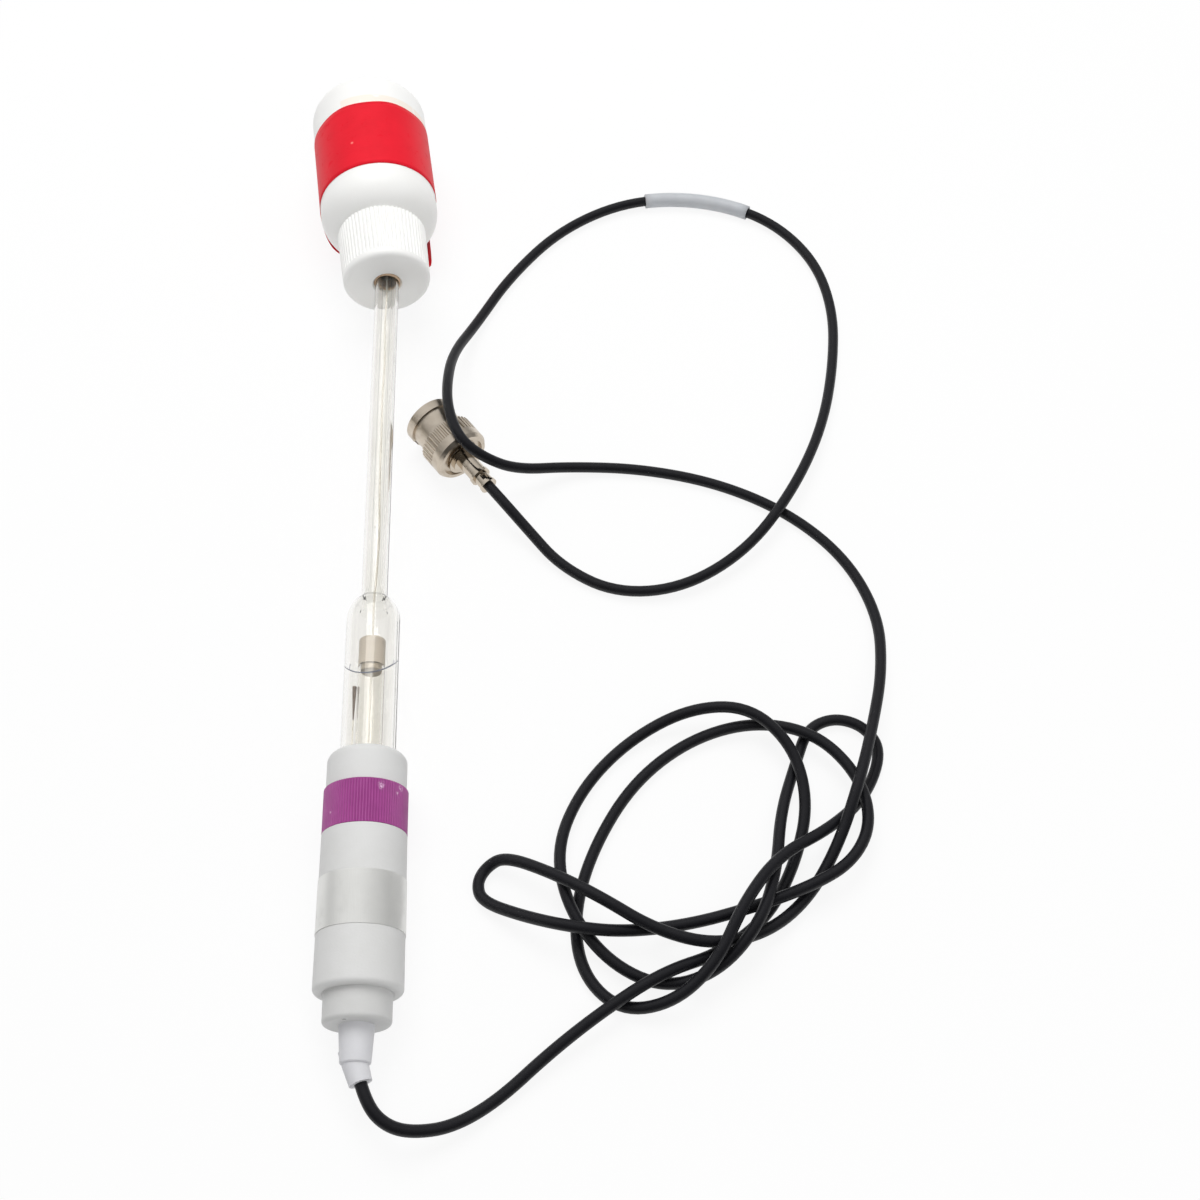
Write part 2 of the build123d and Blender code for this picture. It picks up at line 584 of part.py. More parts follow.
def make_bnc_pin():
    return turned((0, PIN_START), (PIN_R, PIN_START), (PIN_R, PIN_END - PIN_POINT),
                  (PIN_R / 2, PIN_END), (0, PIN_END))


def make_bnc_gasket():
    return rod(GASKET_R, BODY_END, BODY_END + GASKET_THICK, CONTACT_R + GLUE_GAP)


def make_bnc_wave_washer():
    start = BODY_FLANGE_START - WASHER_THICK
    return rod(BODY_FLANGE_R, start, BODY_FLANGE_START, BODY_R + GLUE_GAP)


def cable_points():
    """The whole route: out of the strain relief, along the table, into the ferrule."""
    mouth = electrode_frame * boot_tip_frame() * Pos(0, 0, TIP_LENGTH)
    lead_out = electrode_frame * boot_tip_frame() * Pos(0, 0, TIP_LENGTH + LEAD_OUT)
    lead_in = plug_frame.from_local_coords(Vector(0, 0, -LEAD_IN))
    middle = [Vector(*point) for point in ROUTE]
    return [mouth.position, lead_out.position] + middle + [lead_in, plug_frame.origin]


def bend_radius(before, corner, after):
    """The radius of the cable's arc at a corner, as large as its two runs allow."""
    run_in = corner - before
    run_out = after - corner
    half_turn = radians(run_in.get_angle(run_out)) / 2
    return BEND_SHARE * min(run_in.length, run_out.length) / tan(half_turn)


def tube_along(points, radii, section):
    """A section carried along straight runs joined by tangent arcs."""
    path = FilletPolyline(*points, radius=radii)
    start = Plane(origin=path @ 0, z_dir=path % 0)
    return sweep(start * section, path=path), path.length


def make_cable():
    """The cable's tube and the marker sleeve that sits round one of its bends."""
    points = cable_points()
    radii = [bend_radius(*points[i - 1:i + 2]) for i in range(1, len(points) - 1)]
    tube, length = tube_along(points, radii, Circle(CABLE_R))
    before, corner, after = points[MARKER_CORNER_INDEX - 1:MARKER_CORNER_INDEX + 2]
    marker_points = [
        corner + (before - corner).normalized() * MARKER_REACH,
        corner,
        corner + (after - corner).normalized() * MARKER_REACH,
    ]
    sleeve_section = Circle(MARKER_R) - Circle(CABLE_R + MARKER_GAP)
    sleeve, _ = tube_along(marker_points, [radii[MARKER_CORNER_INDEX - 1]], sleeve_section)
    print("cable bend radii", [round(radius, 1) for radius in radii])
    print("cable length", round(length, 1), "volume over section times length",
          round(tube.volume / (pi * CABLE_R**2 * length), 5))
    return tube, sleeve


rear_seal, front_seal = seal_stations()
cable, marker = make_cable()
NODES = {
    "glass_body": electrode_frame * make_glass_body(),
    "inner_tube": electrode_frame * make_inner_tube(),
    "junction_frit": electrode_frame * make_junction_frit(),
    "silver_wire": electrode_frame * make_silver_wire(),
    "lead_tube": electrode_frame * make_lead_tube(),
    "lead_plug": electrode_frame * make_lead_plug(),
    "reference_wire": electrode_frame * make_reference_wire(),
    "potting_seal": electrode_frame * make_potting_seal(),
    "head_collar": electrode_frame * make_head_collar(),
    "fill_ring": electrode_frame * make_fill_ring(),
    "ring_seal_front": electrode_frame * make_seal(front_seal),
    "ring_seal_rear": electrode_frame * make_seal(rear_seal),
    "head_barrel": electrode_frame * make_head_barrel(),
    "label_band": electrode_frame * make_label_band(),
    "end_plug": electrode_frame * make_end_plug(),
    "strain_relief": electrode_frame * make_strain_relief(),
    "soaker_bottle": bottle_frame * make_soaker_bottle(),
    "bottle_label": bottle_frame * make_bottle_label(),
    "soaker_cap": bottle_frame * make_soaker_cap(),
    "soaker_grommet": make_soaker_grommet(),
    "cable_lead": cable,
    "cable_marker": marker,
    "bnc_ferrule": plug_frame * make_bnc_ferrule(),
    "bnc_body": plug_frame * make_bnc_body(),
    "bnc_ring": plug_frame * make_bnc_ring(),
    "bnc_contact": plug_frame * make_bnc_contact(),
    "bnc_insulator": plug_frame * make_bnc_insulator(),
    "bnc_pin": plug_frame * make_bnc_pin(),
    "bnc_gasket": plug_frame * make_bnc_gasket(),
    "bnc_wave_washer": plug_frame * make_bnc_wave_washer(),
}

os.makedirs("parts", exist_ok=True)
for name, solid in NODES.items():
    export_step(solid, f"parts/{name}.step")
print("tilt", round(degrees(TILT), 3), "cap centre", cap_centre)
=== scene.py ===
"""Looks of a combination pH electrode that lies beside its looped lead, its tip in a storage bottle.

Metres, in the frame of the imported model: +Z up, the table at Z = 0, the electrode along +Y with its
tip at the far end. Stations are millimetres along an axis: from the barrel's rear face towards the
tip, from the face of the bottle's cap towards its base, and from the plug's cable end to its front.
"""

import json
import logging
from dataclasses import dataclass
from enum import Enum
from math import cos, radians, sin
from typing import Any, ClassVar

import bmesh
import bpy
from mathutils import Matrix, Vector

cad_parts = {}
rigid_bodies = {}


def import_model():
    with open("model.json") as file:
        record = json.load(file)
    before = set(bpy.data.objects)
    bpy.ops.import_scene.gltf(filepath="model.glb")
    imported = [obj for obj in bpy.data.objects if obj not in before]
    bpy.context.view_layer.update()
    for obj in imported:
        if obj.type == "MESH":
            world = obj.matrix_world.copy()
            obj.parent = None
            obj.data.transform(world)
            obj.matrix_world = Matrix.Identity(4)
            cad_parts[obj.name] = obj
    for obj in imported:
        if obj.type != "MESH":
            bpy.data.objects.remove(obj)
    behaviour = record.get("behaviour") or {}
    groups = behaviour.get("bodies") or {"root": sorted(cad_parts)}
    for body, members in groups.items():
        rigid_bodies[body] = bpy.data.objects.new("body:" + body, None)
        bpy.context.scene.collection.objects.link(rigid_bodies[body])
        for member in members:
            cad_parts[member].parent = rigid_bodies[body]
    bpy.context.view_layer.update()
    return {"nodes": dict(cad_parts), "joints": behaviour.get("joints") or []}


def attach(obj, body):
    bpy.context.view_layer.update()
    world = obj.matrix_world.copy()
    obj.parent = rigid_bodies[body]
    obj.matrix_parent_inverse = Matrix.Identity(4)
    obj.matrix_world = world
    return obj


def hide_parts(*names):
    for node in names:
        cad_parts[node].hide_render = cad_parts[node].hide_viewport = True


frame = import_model()

MM = 0.001
UP = Vector((0, 0, 1))
log = logging.getLogger("ph_electrode")

Color = tuple[float, float, float, float]
Point = tuple[float, float, float]
Socket = bpy.types.NodeSocket
Node = bpy.types.Node


def srgb(red: int, green: int, blue: int) -> Color:
    """Turns a colour as a screen shows it into the linear one that a shader takes.

    Args:
        red: Red from 0 to 255.
        green: Green from 0 to 255.
        blue: Blue from 0 to 255.

    Returns:
        The linear colour with an alpha of 1.
    """
    def linear(level: int) -> float:
        """One channel, from its screen level."""
        share = level / 255
        return share / 12.92 if share <= 0.04045 else ((share + 0.055) / 1.055) ** 2.4

    return linear(red), linear(green), linear(blue), 1.0


def smooth(share: float) -> float:
    """An even step from 0 to 1 with no corner at either end."""
    held = min(1.0, max(0.0, share))
    return held * held * (3 - 2 * held)


def add_object(name: str, data: bpy.types.ID) -> bpy.types.Object:
    """Puts a mesh, a curve, a light or a camera into the scene.

    Args:
        name: The new object's name.
        data: What it shows.

    Returns:
        The object.
    """
    made = bpy.data.objects.new(name, data)
    bpy.context.scene.collection.objects.link(made)
    return made


@dataclass(frozen=True)
class Line:
    """A straight axis of the object, with stations along it in millimetres.

    Attributes:
        start: The axis's point at station 0, in metres.
        along: The direction of growing stations.
    """

    start: Vector
    along: Vector

    @classmethod
    def of_joint(cls, name: str, station: float, sense: float = 1.0) -> "Line":
        """Reads an axis from one of the frame's joints.

        Args:
            name: The joint's name.
            station: The station of the joint's own point.
            sense: 1 where stations grow along the joint's axis, -1 where they grow against it.

        Returns:
            The axis with its station 0 worked out.
        """
        joint = next(joint for joint in frame["joints"] if joint["name"] == name)
        along = Vector(joint["axis"]).normalized() * sense
        return cls(Vector(joint["pos_m"]) - along * station * MM, along)

    @property
    def across(self) -> Vector:
        """The level direction to the right of the axis."""
        return self.along.cross(UP).normalized()

    @property
    def above(self) -> Vector:
        """The direction upwards from the axis, square to it."""
        return self.across.cross(self.along)

    def at(self, station: float, right: float = 0.0, up: float = 0.0) -> Vector:
        """A point beside the axis, from millimetres, in metres."""
        return self.start + (self.along * station + self.across * right + self.above * up) * MM

    def around(self, station: float, radius: float, angle: float) -> Vector:
        """A point round the axis, at an angle in degrees from its right side over the top."""
        turn = radians(angle)
        return self.at(station, radius * cos(turn), radius * sin(turn))

    def turn(self) -> Matrix:
        """The rotation that takes X, Y and Z to the right, up and along the axis."""
        return Matrix((self.across, self.above, self.along)).transposed()


ELECTRODE = Line.of_joint("fill_ring_turn", 41.85)
BOTTLE = Line.of_joint("cap_turn", 0.0, -1.0)
PLUG = Line.of_joint("coupling_turn", 20.0)


class Body(Enum):
    """The moving bodies that the scene's own pieces ride on."""

    ELECTRODE = "electrode"
    GROMMET = "grommet"
    BOTTLE = "bottle"


class Graph:
    """A node tree that is written one node at a time."""

    def __init__(self, tree: bpy.types.NodeTree) -> None:
        """Takes the tree that nodes are added to."""
        self.tree = tree

    @classmethod
    def fresh(cls, owner: bpy.types.Material | bpy.types.World) -> "Graph":
        """Empties the nodes of a material or a sky and starts to write them."""
        owner.use_nodes = True
        owner.node_tree.nodes.clear()
        return cls(owner.node_tree)

    def add(self, kind: str, inputs: dict[str | int, Any] | None = None, **settings: Any) -> Node:
        """Adds a node.

        Args:
            kind: The node's type.
            inputs: A value or a socket to link for each input, by its name or number.
            settings: Values of the node's own properties.

        Returns:
            The new node.
        """
        node = self.tree.nodes.new(kind)
        for name, value in settings.items():
            setattr(node, name, value)
        self.feed(node, inputs or {})
        return node

    def feed(self, node: Node, inputs: dict[str | int, Any]) -> None:
        """Sets or links the inputs of a node.

        Args:
            node: The node.
            inputs: A value or a socket to link for each input, by its name or number.
        """
        for key, value in inputs.items():
            if isinstance(value, Socket):
                self.tree.links.new(value, node.inputs[key])
            else:
                node.inputs[key].default_value = value

    def math(self, operation: str, first: Any, second: Any) -> Socket:
        """The result of a sum on two values or sockets, held between 0 and 1."""
        node = self.add("ShaderNodeMath", {0: first, 1: second}, operation=operation, use_clamp=True)
        return node.outputs[0]

    def total(self, first: Any, second: Any) -> Socket:
        """The sum of two values or sockets, with no limit."""
        return self.add("ShaderNodeMath", {0: first, 1: second}, operation="ADD").outputs[0]

    def vector(self, operation: str, first: Any, second: Any = (0.0, 0.0, 0.0)) -> Socket:
        """The result of a sum on vectors: a value for a length or a distance, a vector otherwise."""
        node = self.add("ShaderNodeVectorMath", {0: first, 1: second}, operation=operation)
        return node.outputs["Value" if operation in ("LENGTH", "DISTANCE") else "Vector"]

    def mix(self, share: Any, first: Any, second: Any) -> Socket:
        """Mixes two values by a share."""
        return self.add("ShaderNodeMix", {0: share, 2: first, 3: second}).outputs[0]

    def spread(self, value: Any, low: Any, high: Any, to_low: float = 0.0, to_high: float = 1.0,
               kind: str = "SMOOTHSTEP") -> Socket:
        """Maps the span from low to high onto another one."""
        return self.add("ShaderNodeMapRange", {
            "Value": value, "From Min": low, "From Max": high, "To Min": to_low, "To Max": to_high,
        }, interpolation_type=kind).outputs[0]

    def blend(self, share: Any, first: Any, second: Any) -> Socket:
        """Mixes two colours by a share."""
        return self.add("ShaderNodeMix", {0: share, 6: first, 7: second}, data_type="RGBA").outputs[2]

    def effect(self, effect: "Effect", **inputs: Any) -> Socket:
        """Places a shared effect with its own values and gives its result."""
        return self.add("ShaderNodeGroup", inputs, node_tree=EFFECTS[effect]).outputs[0]

    def specks(self, place: Socket, scale: float, threshold: float) -> Socket:
        """A mask of scattered specks, so many to a metre."""
        return self.effect(Effect.SCUFF, Vector=place, Scale=scale, Threshold=threshold)

    def band(self, place: Socket, start: float, end: float, soft: float) -> Socket:
        """A mask of the stretch between two stations of an axis, all in millimetres."""
        return self.effect(Effect.BAND, Vector=place, Start=start * MM, End=end * MM, Soft=soft * MM)

    def spot(self, centre: Vector, radius: float) -> Socket:
        """A mask of a round spot, its centre in metres and its radius in millimetres."""
        return self.effect(Effect.SPOT, Vector=self.object_place(), Centre=centre, Radius=radius * MM)

    def object_place(self) -> Socket:
        """The place on the piece, in the object's frame."""
        return self.add("ShaderNodeTexCoord").outputs["Object"]

    def axis_place(self, line: Line) -> Socket:
        """The place on the piece in metres to the right of an axis, above it and along it."""
        back = line.turn().transposed()
        return self.add("ShaderNodeMapping", {
            "Vector": self.object_place(), "Location": -(back @ line.start), "Rotation": back.to_euler(),
        }).outputs[0]


class Effect(Enum):
    """The surface effects that several finishes share."""

    MOTTLE = "soft_mottle"
    SCUFF = "fine_scuffs"
    GRAIN = "moulded_grain"
    BAND = "station_band"
    SPOT = "round_spot"


EFFECTS: dict[Effect, bpy.types.NodeTree] = {}


class EffectMaker:
    """Builds the shared effects as shader groups with named inputs and outputs.

    Attributes:
        KINDS: The kind of socket for each type of value.
        PATCH_LOW: The noise level at which a cloudy patch starts to show.
        PATCH_HIGH: The level at which it shows fully.
        SPECK_EDGE: How far above its threshold a speck shows fully.
    """

    KINDS = {float: "NodeSocketFloat", Vector: "NodeSocketVector", tuple: "NodeSocketColor"}
    PATCH_LOW = 0.35
    PATCH_HIGH = 0.7
    SPECK_EDGE = 0.08

    def make(self) -> None:
        """Builds every effect once."""
        for build in (self.mottle, self.scuff, self.grain, self.band, self.spot):
            build()

    def start(self, effect: Effect, takes: dict[str, Any],
              gives: dict[str, Any]) -> tuple[Graph, Any, Any]:
        """Opens a group.

        Args:
            effect: Which effect the group is.
            takes: A first value for each input.
            gives: A value of the right type for each output.

        Returns:
            The group's graph, its input sockets and the node that its outputs end in.
        """
        tree = bpy.data.node_groups.new(effect.value, "ShaderNodeTree")
        for way, sockets in (("INPUT", takes), ("OUTPUT", gives)):
            for name, value in sockets.items():
                made = tree.interface.new_socket(name, in_out=way, socket_type=self.KINDS[type(value)])
                made.default_value = value
        EFFECTS[effect] = tree
        graph = Graph(tree)
        return graph, graph.add("NodeGroupInput").outputs, graph.add("NodeGroupOutput")

    def mottle(self) -> None:
        """Cloudy patches of a second colour."""
        graph, given, ends = self.start(
            Effect.MOTTLE,
            {"Vector": Vector(), "Color": srgb(255, 255, 255), "Shade": srgb(128, 128, 128),
             "Scale": 100.0, "Amount": 0.5},
            {"Color": srgb(255, 255, 255)})
        noise = graph.add("ShaderNodeTexNoise", {
            "Vector": given["Vector"], "Scale": given["Scale"], "Detail": 5.0, "Roughness": 0.6})
        patches = graph.spread(noise.outputs[0], self.PATCH_LOW, self.PATCH_HIGH)
        mask = graph.math("MULTIPLY", patches, given["Amount"])
        graph.feed(ends, {"Color": graph.blend(mask, given["Color"], given["Shade"])})

    def scuff(self) -> None:
        """Scattered rubbed specks, more of them with a lower threshold."""
        graph, given, ends = self.start(
            Effect.SCUFF, {"Vector": Vector(), "Scale": 300.0, "Threshold": 0.62}, {"Mask": 0.0})
        noise = graph.add("ShaderNodeTexNoise", {
            "Vector": given["Vector"], "Scale": given["Scale"], "Detail": 8.0, "Distortion": 1.2})
        over = graph.total(given["Threshold"], self.SPECK_EDGE)
        graph.feed(ends, {"Mask": graph.spread(noise.outputs[0], given["Threshold"], over)})

    def grain(self) -> None:
        """The fine unevenness of a moulded or drawn surface."""
        graph, given, ends = self.start(
            Effect.GRAIN, {"Vector": Vector(), "Scale": 900.0}, {"Height": 0.0})
        noise = graph.add("ShaderNodeTexNoise", {
            "Vector": given["Vector"], "Scale": given["Scale"], "Detail": 3.0})
        graph.feed(ends, {"Height": noise.outputs[0]})

    def band(self) -> None:
        """A soft-edged band between two stations of an axis, in metres."""
        graph, given, ends = self.start(
            Effect.BAND, {"Vector": Vector(), "Start": 0.0, "End": 0.01, "Soft": 0.001}, {"Mask": 0.0})
        station = graph.add("ShaderNodeSeparateXYZ", {0: given["Vector"]}).outputs["Z"]

        def rise(edge: Socket) -> Socket:
            """A step up at an edge."""
            return graph.spread(station, edge, graph.total(edge, given["Soft"]))

        graph.feed(ends, {"Mask": graph.math("SUBTRACT", rise(given["Start"]), rise(given["End"]))})

    def spot(self) -> None:
        """A soft round spot about a point."""
        graph, given, ends = self.start(
            Effect.SPOT, {"Vector": Vector(), "Centre": Vector(), "Radius": 0.001}, {"Mask": 0.0})
        away = graph.vector("DISTANCE", given["Vector"], given["Centre"])
        graph.feed(ends, {"Mask": graph.spread(away, given["Radius"], 0.0)})


@dataclass(frozen=True)
class Finish:
    """What every surface has: a colour with cloudy patches of a second one, and its gloss.

    Attributes:
        name: The material's name.
        color: The main colour.
        shade: The colour of its patches.
        amount: How strongly the patches show.
        scale: How many patches there are to a metre.
        roughness: The plain roughness.
    """

    name: str
    color: Color
    shade: Color
    amount: float
    scale: float
    roughness: float

    def build(self) -> bpy.types.Material:
        """Writes the material's nodes.

        Returns:
            The material.
        """
        material = bpy.data.materials.new(self.name)
        graph = Graph.fresh(material)
        shader = graph.add("ShaderNodeBsdfPrincipled", {"Roughness": self.roughness})
        self.dress(graph, shader)
        graph.add("ShaderNodeOutputMaterial", {"Surface": self.surface(graph, shader)})
        return material

    def surface(self, graph: Graph, shader: Node) -> Socket:
        """What the material ends in, which is the shader as it is."""
        return shader.outputs[0]

    def paint(self, graph: Graph, place: Socket) -> Socket:
        """The mottled colour, before anything else is laid over it."""
        return graph.effect(Effect.MOTTLE, Vector=place, Color=self.color, Shade=self.shade,
                            Scale=self.scale, Amount=self.amount)

    def gloss(self, graph: Graph, place: Socket, scale: float, threshold: float, dull: float) -> Socket:
        """The roughness, which is higher by dull on scattered specks."""
        specks = graph.specks(place, scale, threshold)
        return graph.spread(specks, 0.0, 1.0, self.roughness, min(1.0, self.roughness + dull), "LINEAR")

    def raise_grain(self, graph: Graph, shader: Node, height: Socket,
                    strength: float, reach: float) -> None:
        """Turns a height into the shader's normal."""
        bump = graph.add("ShaderNodeBump", {"Height": height, "Strength": strength, "Distance": reach})
        graph.feed(shader, {"Normal": bump.outputs[0]})

    def dress(self, graph: Graph, shader: Node) -> None:
        """Lays the finish on the shader, which each kind of finish does in its own way."""
        raise NotImplementedError


@dataclass(frozen=True)
class Moulded(Finish):
    """Moulded plastic or rubber with a fine grain and rubbed specks.

    Attributes:
        grain: How many grains there are to a metre.
        relief: How strongly the grain shows.
        reach: How deep the grain is, in millimetres.
        rub: The threshold of the rubbed specks, with fewer of them the higher it is.
        rub_share: How many specks there are to a grain.
        rub_dull: How much rougher a speck is.
        sheen: How strongly the surface mirrors light.
    """

    grain: float = 1800.0
    relief: float = 0.12
    reach: float = 0.2
    rub: float = 0.62
    rub_share: float = 0.2
    rub_dull: float = 0.18
    sheen: float = 0.5

    def over_color(self, graph: Graph, color: Socket) -> Socket:
        """What lies over the plain colour, which here is nothing."""
        return color

    def dress(self, graph: Graph, shader: Node) -> None:
        """Lays colour, rubbed gloss and grain on the shader."""
        place = graph.object_place()
        graph.feed(shader, {
            "Specular IOR Level": self.sheen,
            "Roughness": self.gloss(graph, place, self.grain * self.rub_share, self.rub, self.rub_dull),
            "Base Color": self.over_color(graph, self.paint(graph, place))})
        grain = graph.effect(Effect.GRAIN, Vector=place, Scale=self.grain)
        self.raise_grain(graph, shader, grain, self.relief, self.reach * MM)


@dataclass(frozen=True)
class ScuffedRing(Moulded):
    """Purple plastic with chips rubbed pale, most of them on its upper right edge.

    Attributes:
        chip: The colour of a chip.
        chips: Station, angle and radius of each chip, in millimetres and degrees.
        chip_fade: How far a chip fades out, as a multiple of its radius.
        speck_scale: How many specks that break up a chip there are to a metre.
        speck_rub: The threshold of those specks.
        radius: The ring's radius in millimetres.
    """

    chip: Color = srgb(232, 196, 226)
    chips: tuple[Point, ...] = (
        (45.7, 62.0, 0.75), (45.0, 62.5, 0.5), (46.1, 29.0, 0.7), (44.6, 36.3, 0.35), (40.0, 135.6, 0.3))
    chip_fade: float = 1.6
    speck_scale: float = 1300.0
    speck_rub: float = 0.46
    radius: float = 9.75

    def over_color(self, graph: Graph, color: Socket) -> Socket:
        """Lays the chips over the colour, broken up by specks."""
        specks = graph.specks(graph.object_place(), self.speck_scale, self.speck_rub)
        for station, angle, size in self.chips:
            spot = graph.spot(ELECTRODE.around(station, self.radius, angle), size * self.chip_fade)
            color = graph.blend(graph.math("MULTIPLY", spot, specks), color, self.chip)
        return color


@dataclass(frozen=True)
class BottleWall(Moulded):
    """White bottle plastic with a strip of old glue past the label's far edge.

    Attributes:
        glue: The colour of the glue.
        glue_start: Where the glue starts along the bottle, in millimetres.
        glue_end: Where it ends.
        glue_left: How far its left end lies to the right of the bottle's middle.
        glue_soft: How softly its long edges fade.
        glue_taper: How softly its left end fades.
        break_scale: How many breaks in it there are to a metre.
        break_rub: The threshold of those breaks.
    """

    glue: Color = srgb(248, 240, 229)
    glue_start: float = 53.6
    glue_end: float = 56.7
    glue_left: float = -6.8
    glue_soft: float = 0.6
    glue_taper: float = 0.4
    break_scale: float = 160.0
    break_rub: float = 0.3

    def over_color(self, graph: Graph, color: Socket) -> Socket:
        """Lays the glue strip over the colour, uneven along its edge."""
        place = graph.axis_place(BOTTLE)
        strip = graph.band(place, self.glue_start, self.glue_end, self.glue_soft)
        right = graph.add("ShaderNodeSeparateXYZ", {0: place}).outputs["X"]
        inside = graph.spread(right, (self.glue_left - self.glue_taper) * MM, self.glue_left * MM)
        broken = graph.specks(graph.object_place(), self.break_scale, self.break_rub)
        shown = graph.math("MULTIPLY", graph.math("MULTIPLY", strip, inside), broken)
        return graph.blend(shown, color, self.glue)


@dataclass(frozen=True)
class WrapPaper(Moulded):
    """Satin red wrap with a small pale nick.

    Attributes:
        nick: The colour where the red is knocked off.
        nick_station: Where the nick lies along the bottle, in millimetres.
        nick_angle: Its angle round the bottle, in degrees.
        nick_radius: Its own radius.
        radius: The wrap's radius in millimetres.
    """

    nick: Color = srgb(250, 150, 140)
    nick_station: float = 38.9
    nick_angle: float = 107.0
    nick_radius: float = 0.6
    radius: float = 16.52

    def over_color(self, graph: Graph, color: Socket) -> Socket:
        """Lays the nick over the colour."""
        centre = BOTTLE.around(self.nick_station, self.radius, self.nick_angle)
        return graph.blend(graph.spot(centre, self.nick_radius), color, self.nick)


@dataclass(frozen=True)
class Metal(Finish):
    """Plated or drawn metal with fine scratches.

    Attributes:
        scratch: How many scratches there are to a metre.
        relief: How strongly they show.
        reach: How deep they are, in millimetres.
        wear: The threshold of the worn specks.
        wear_share: How many worn specks there are to a scratch.
        wear_dull: How much rougher a worn speck is.
    """

    scratch: float = 1400.0
    relief: float = 0.06
    reach: float = 0.1
    wear: float = 0.55
    wear_share: float = 1 / 3
    wear_dull: float = 0.14

    def dress(self, graph: Graph, shader: Node) -> None:
        """Lays colour, uneven polish and scratches on the shader."""
        place = graph.object_place()
        graph.feed(shader, {
            "Metallic": 1.0,
            "Roughness": self.gloss(graph, place, self.scratch * self.wear_share, self.wear, self.wear_dull),
            "Base Color": self.paint(graph, place)})
        grain = graph.effect(Effect.GRAIN, Vector=place, Scale=self.scratch)
        self.raise_grain(graph, shader, grain, self.relief, self.reach * MM)


@dataclass(frozen=True)
class KnurledMetal(Metal):
    """Plated metal with shade painted down in the flutes of its knurl.

    Attributes:
        flute_shade: The colour of the painted shade at the bottom of a flute.
        flute_radius: The radius of that bottom about the plug's axis, in millimetres.
        crest_radius: The radius of the crests between the flutes.
        knurl_start: Where the knurl starts along the plug.
        knurl_end: Where it ends.
        knurl_soft: How softly its ends fade.
    """

    # painted shade: the dark colour laid down in the flutes, where shade falls
    flute_shade: Color = srgb(84, 74, 62)
    flute_radius: float = 7.3
    crest_radius: float = 7.62
    knurl_start: float = 14.9
    knurl_end: float = 19.35
    knurl_soft: float = 0.05

    def paint(self, graph: Graph, place: Socket) -> Socket:
        """Paints shade into the flutes over the plain mottled colour."""
        plug = graph.axis_place(PLUG)
        flat = graph.vector("MULTIPLY", plug, (1.0, 1.0, 0.0))
        radius = graph.vector("LENGTH", flat)
        # painted shade: darker the deeper a point lies between the crests
        shaded_flutes = graph.spread(radius, self.crest_radius * MM, self.flute_radius * MM)
        knurl = graph.band(plug, self.knurl_start, self.knurl_end, self.knurl_soft)
        return graph.blend(graph.math("MULTIPLY", shaded_flutes, knurl), super().paint(graph, place), self.flute_shade)


@dataclass(frozen=True)
class Film(Metal):
    """Metallised film whose fine brushing runs along the barrel.

    Attributes:
        pull: How much longer than wide the brush marks are.
        brush_share: How many brush marks there are to a scratch.
        brush_relief: How strongly the brush marks show.
        metal: The share of bare metal in what the film shows.
    """

    pull: float = 30.0
    brush_share: float = 3.0
    brush_relief: float = 0.25
    metal: float = 0.6

    def dress(self, graph: Graph, shader: Node) -> None:
        """Lays brushed metal on the shader."""
        super().dress(graph, shader)
        graph.feed(shader, {"Metallic": self.metal})
        drawn = graph.add("ShaderNodeMapping", {
            "Vector": graph.axis_place(ELECTRODE), "Scale": (1.0, 1.0, 1.0 / self.pull)}).outputs[0]
        brushed = graph.effect(Effect.GRAIN, Vector=drawn, Scale=self.scratch * self.brush_share)
        self.raise_grain(graph, shader, brushed, self.brush_relief, self.reach * MM)


@dataclass(frozen=True)
class CoatedWire(Metal):
    """Pale wire with a dark, dull coat along one stretch.

    Attributes:
        coat: The coat's colour.
        coat_start: Where the coat starts along the electrode, in millimetres.
        coat_end: Where it ends.
        coat_soft: How softly its ends fade.
        coat_metal: How much of the metal still shows through it.
    """

    coat: Color = srgb(112, 98, 88)
    coat_start: float = 65.7
    coat_end: float = 74.5
    coat_soft: float = 0.2
    coat_metal: float = 0.1

    def dress(self, graph: Graph, shader: Node) -> None:
        """Lays the coat over the metal."""
        super().dress(graph, shader)
        coated = graph.band(graph.axis_place(ELECTRODE), self.coat_start, self.coat_end, self.coat_soft)
        bare = self.paint(graph, graph.object_place())
        graph.feed(shader, {
            "Base Color": graph.blend(coated, bare, self.coat),
            "Metallic": graph.spread(coated, 0.0, 1.0, 1.0, self.coat_metal, "LINEAR")})


@dataclass(frozen=True)
class Glass(Finish):
    """Clear drawn glass with faint smears.

    Attributes:
        index: The refractive index.
        smear: The threshold of the smears.
        smear_dull: How much rougher a smear is.
    """

    index: float
    smear: float = 0.6
    smear_dull: float = 0.05

    def dress(self, graph: Graph, shader: Node) -> None:
        """Lays clear glass on the shader."""
        place = graph.object_place()
        graph.feed(shader, {
            "Transmission Weight": 1.0, "IOR": self.index, "Base Color": self.paint(graph, place),
            "Roughness": self.gloss(graph, place, self.scale, self.smear, self.smear_dull)})

    def surface(self, graph: Graph, shader: Node) -> Socket:
        """Glass that casts hardly any shadow on what stands behind it."""
        rays = graph.add("ShaderNodeLightPath").outputs
        clear = graph.add("ShaderNodeBsdfTransparent", {"Color": self.color}).outputs[0]
        return graph.add("ShaderNodeMixShader", {
            0: rays["Is Shadow Ray"], 1: shader.outputs[0], 2: clear}).outputs[0]


@dataclass(frozen=True)
class Milky(Moulded):
    """Pale plastic that lets some light through.

    Attributes:
        clear: The share of light that passes.
    """

    clear: float = 0.25

    def dress(self, graph: Graph, shader: Node) -> None:
        """Lays milky plastic on the shader."""
        super().dress(graph, shader)
        graph.feed(shader, {"Transmission Weight": self.clear})


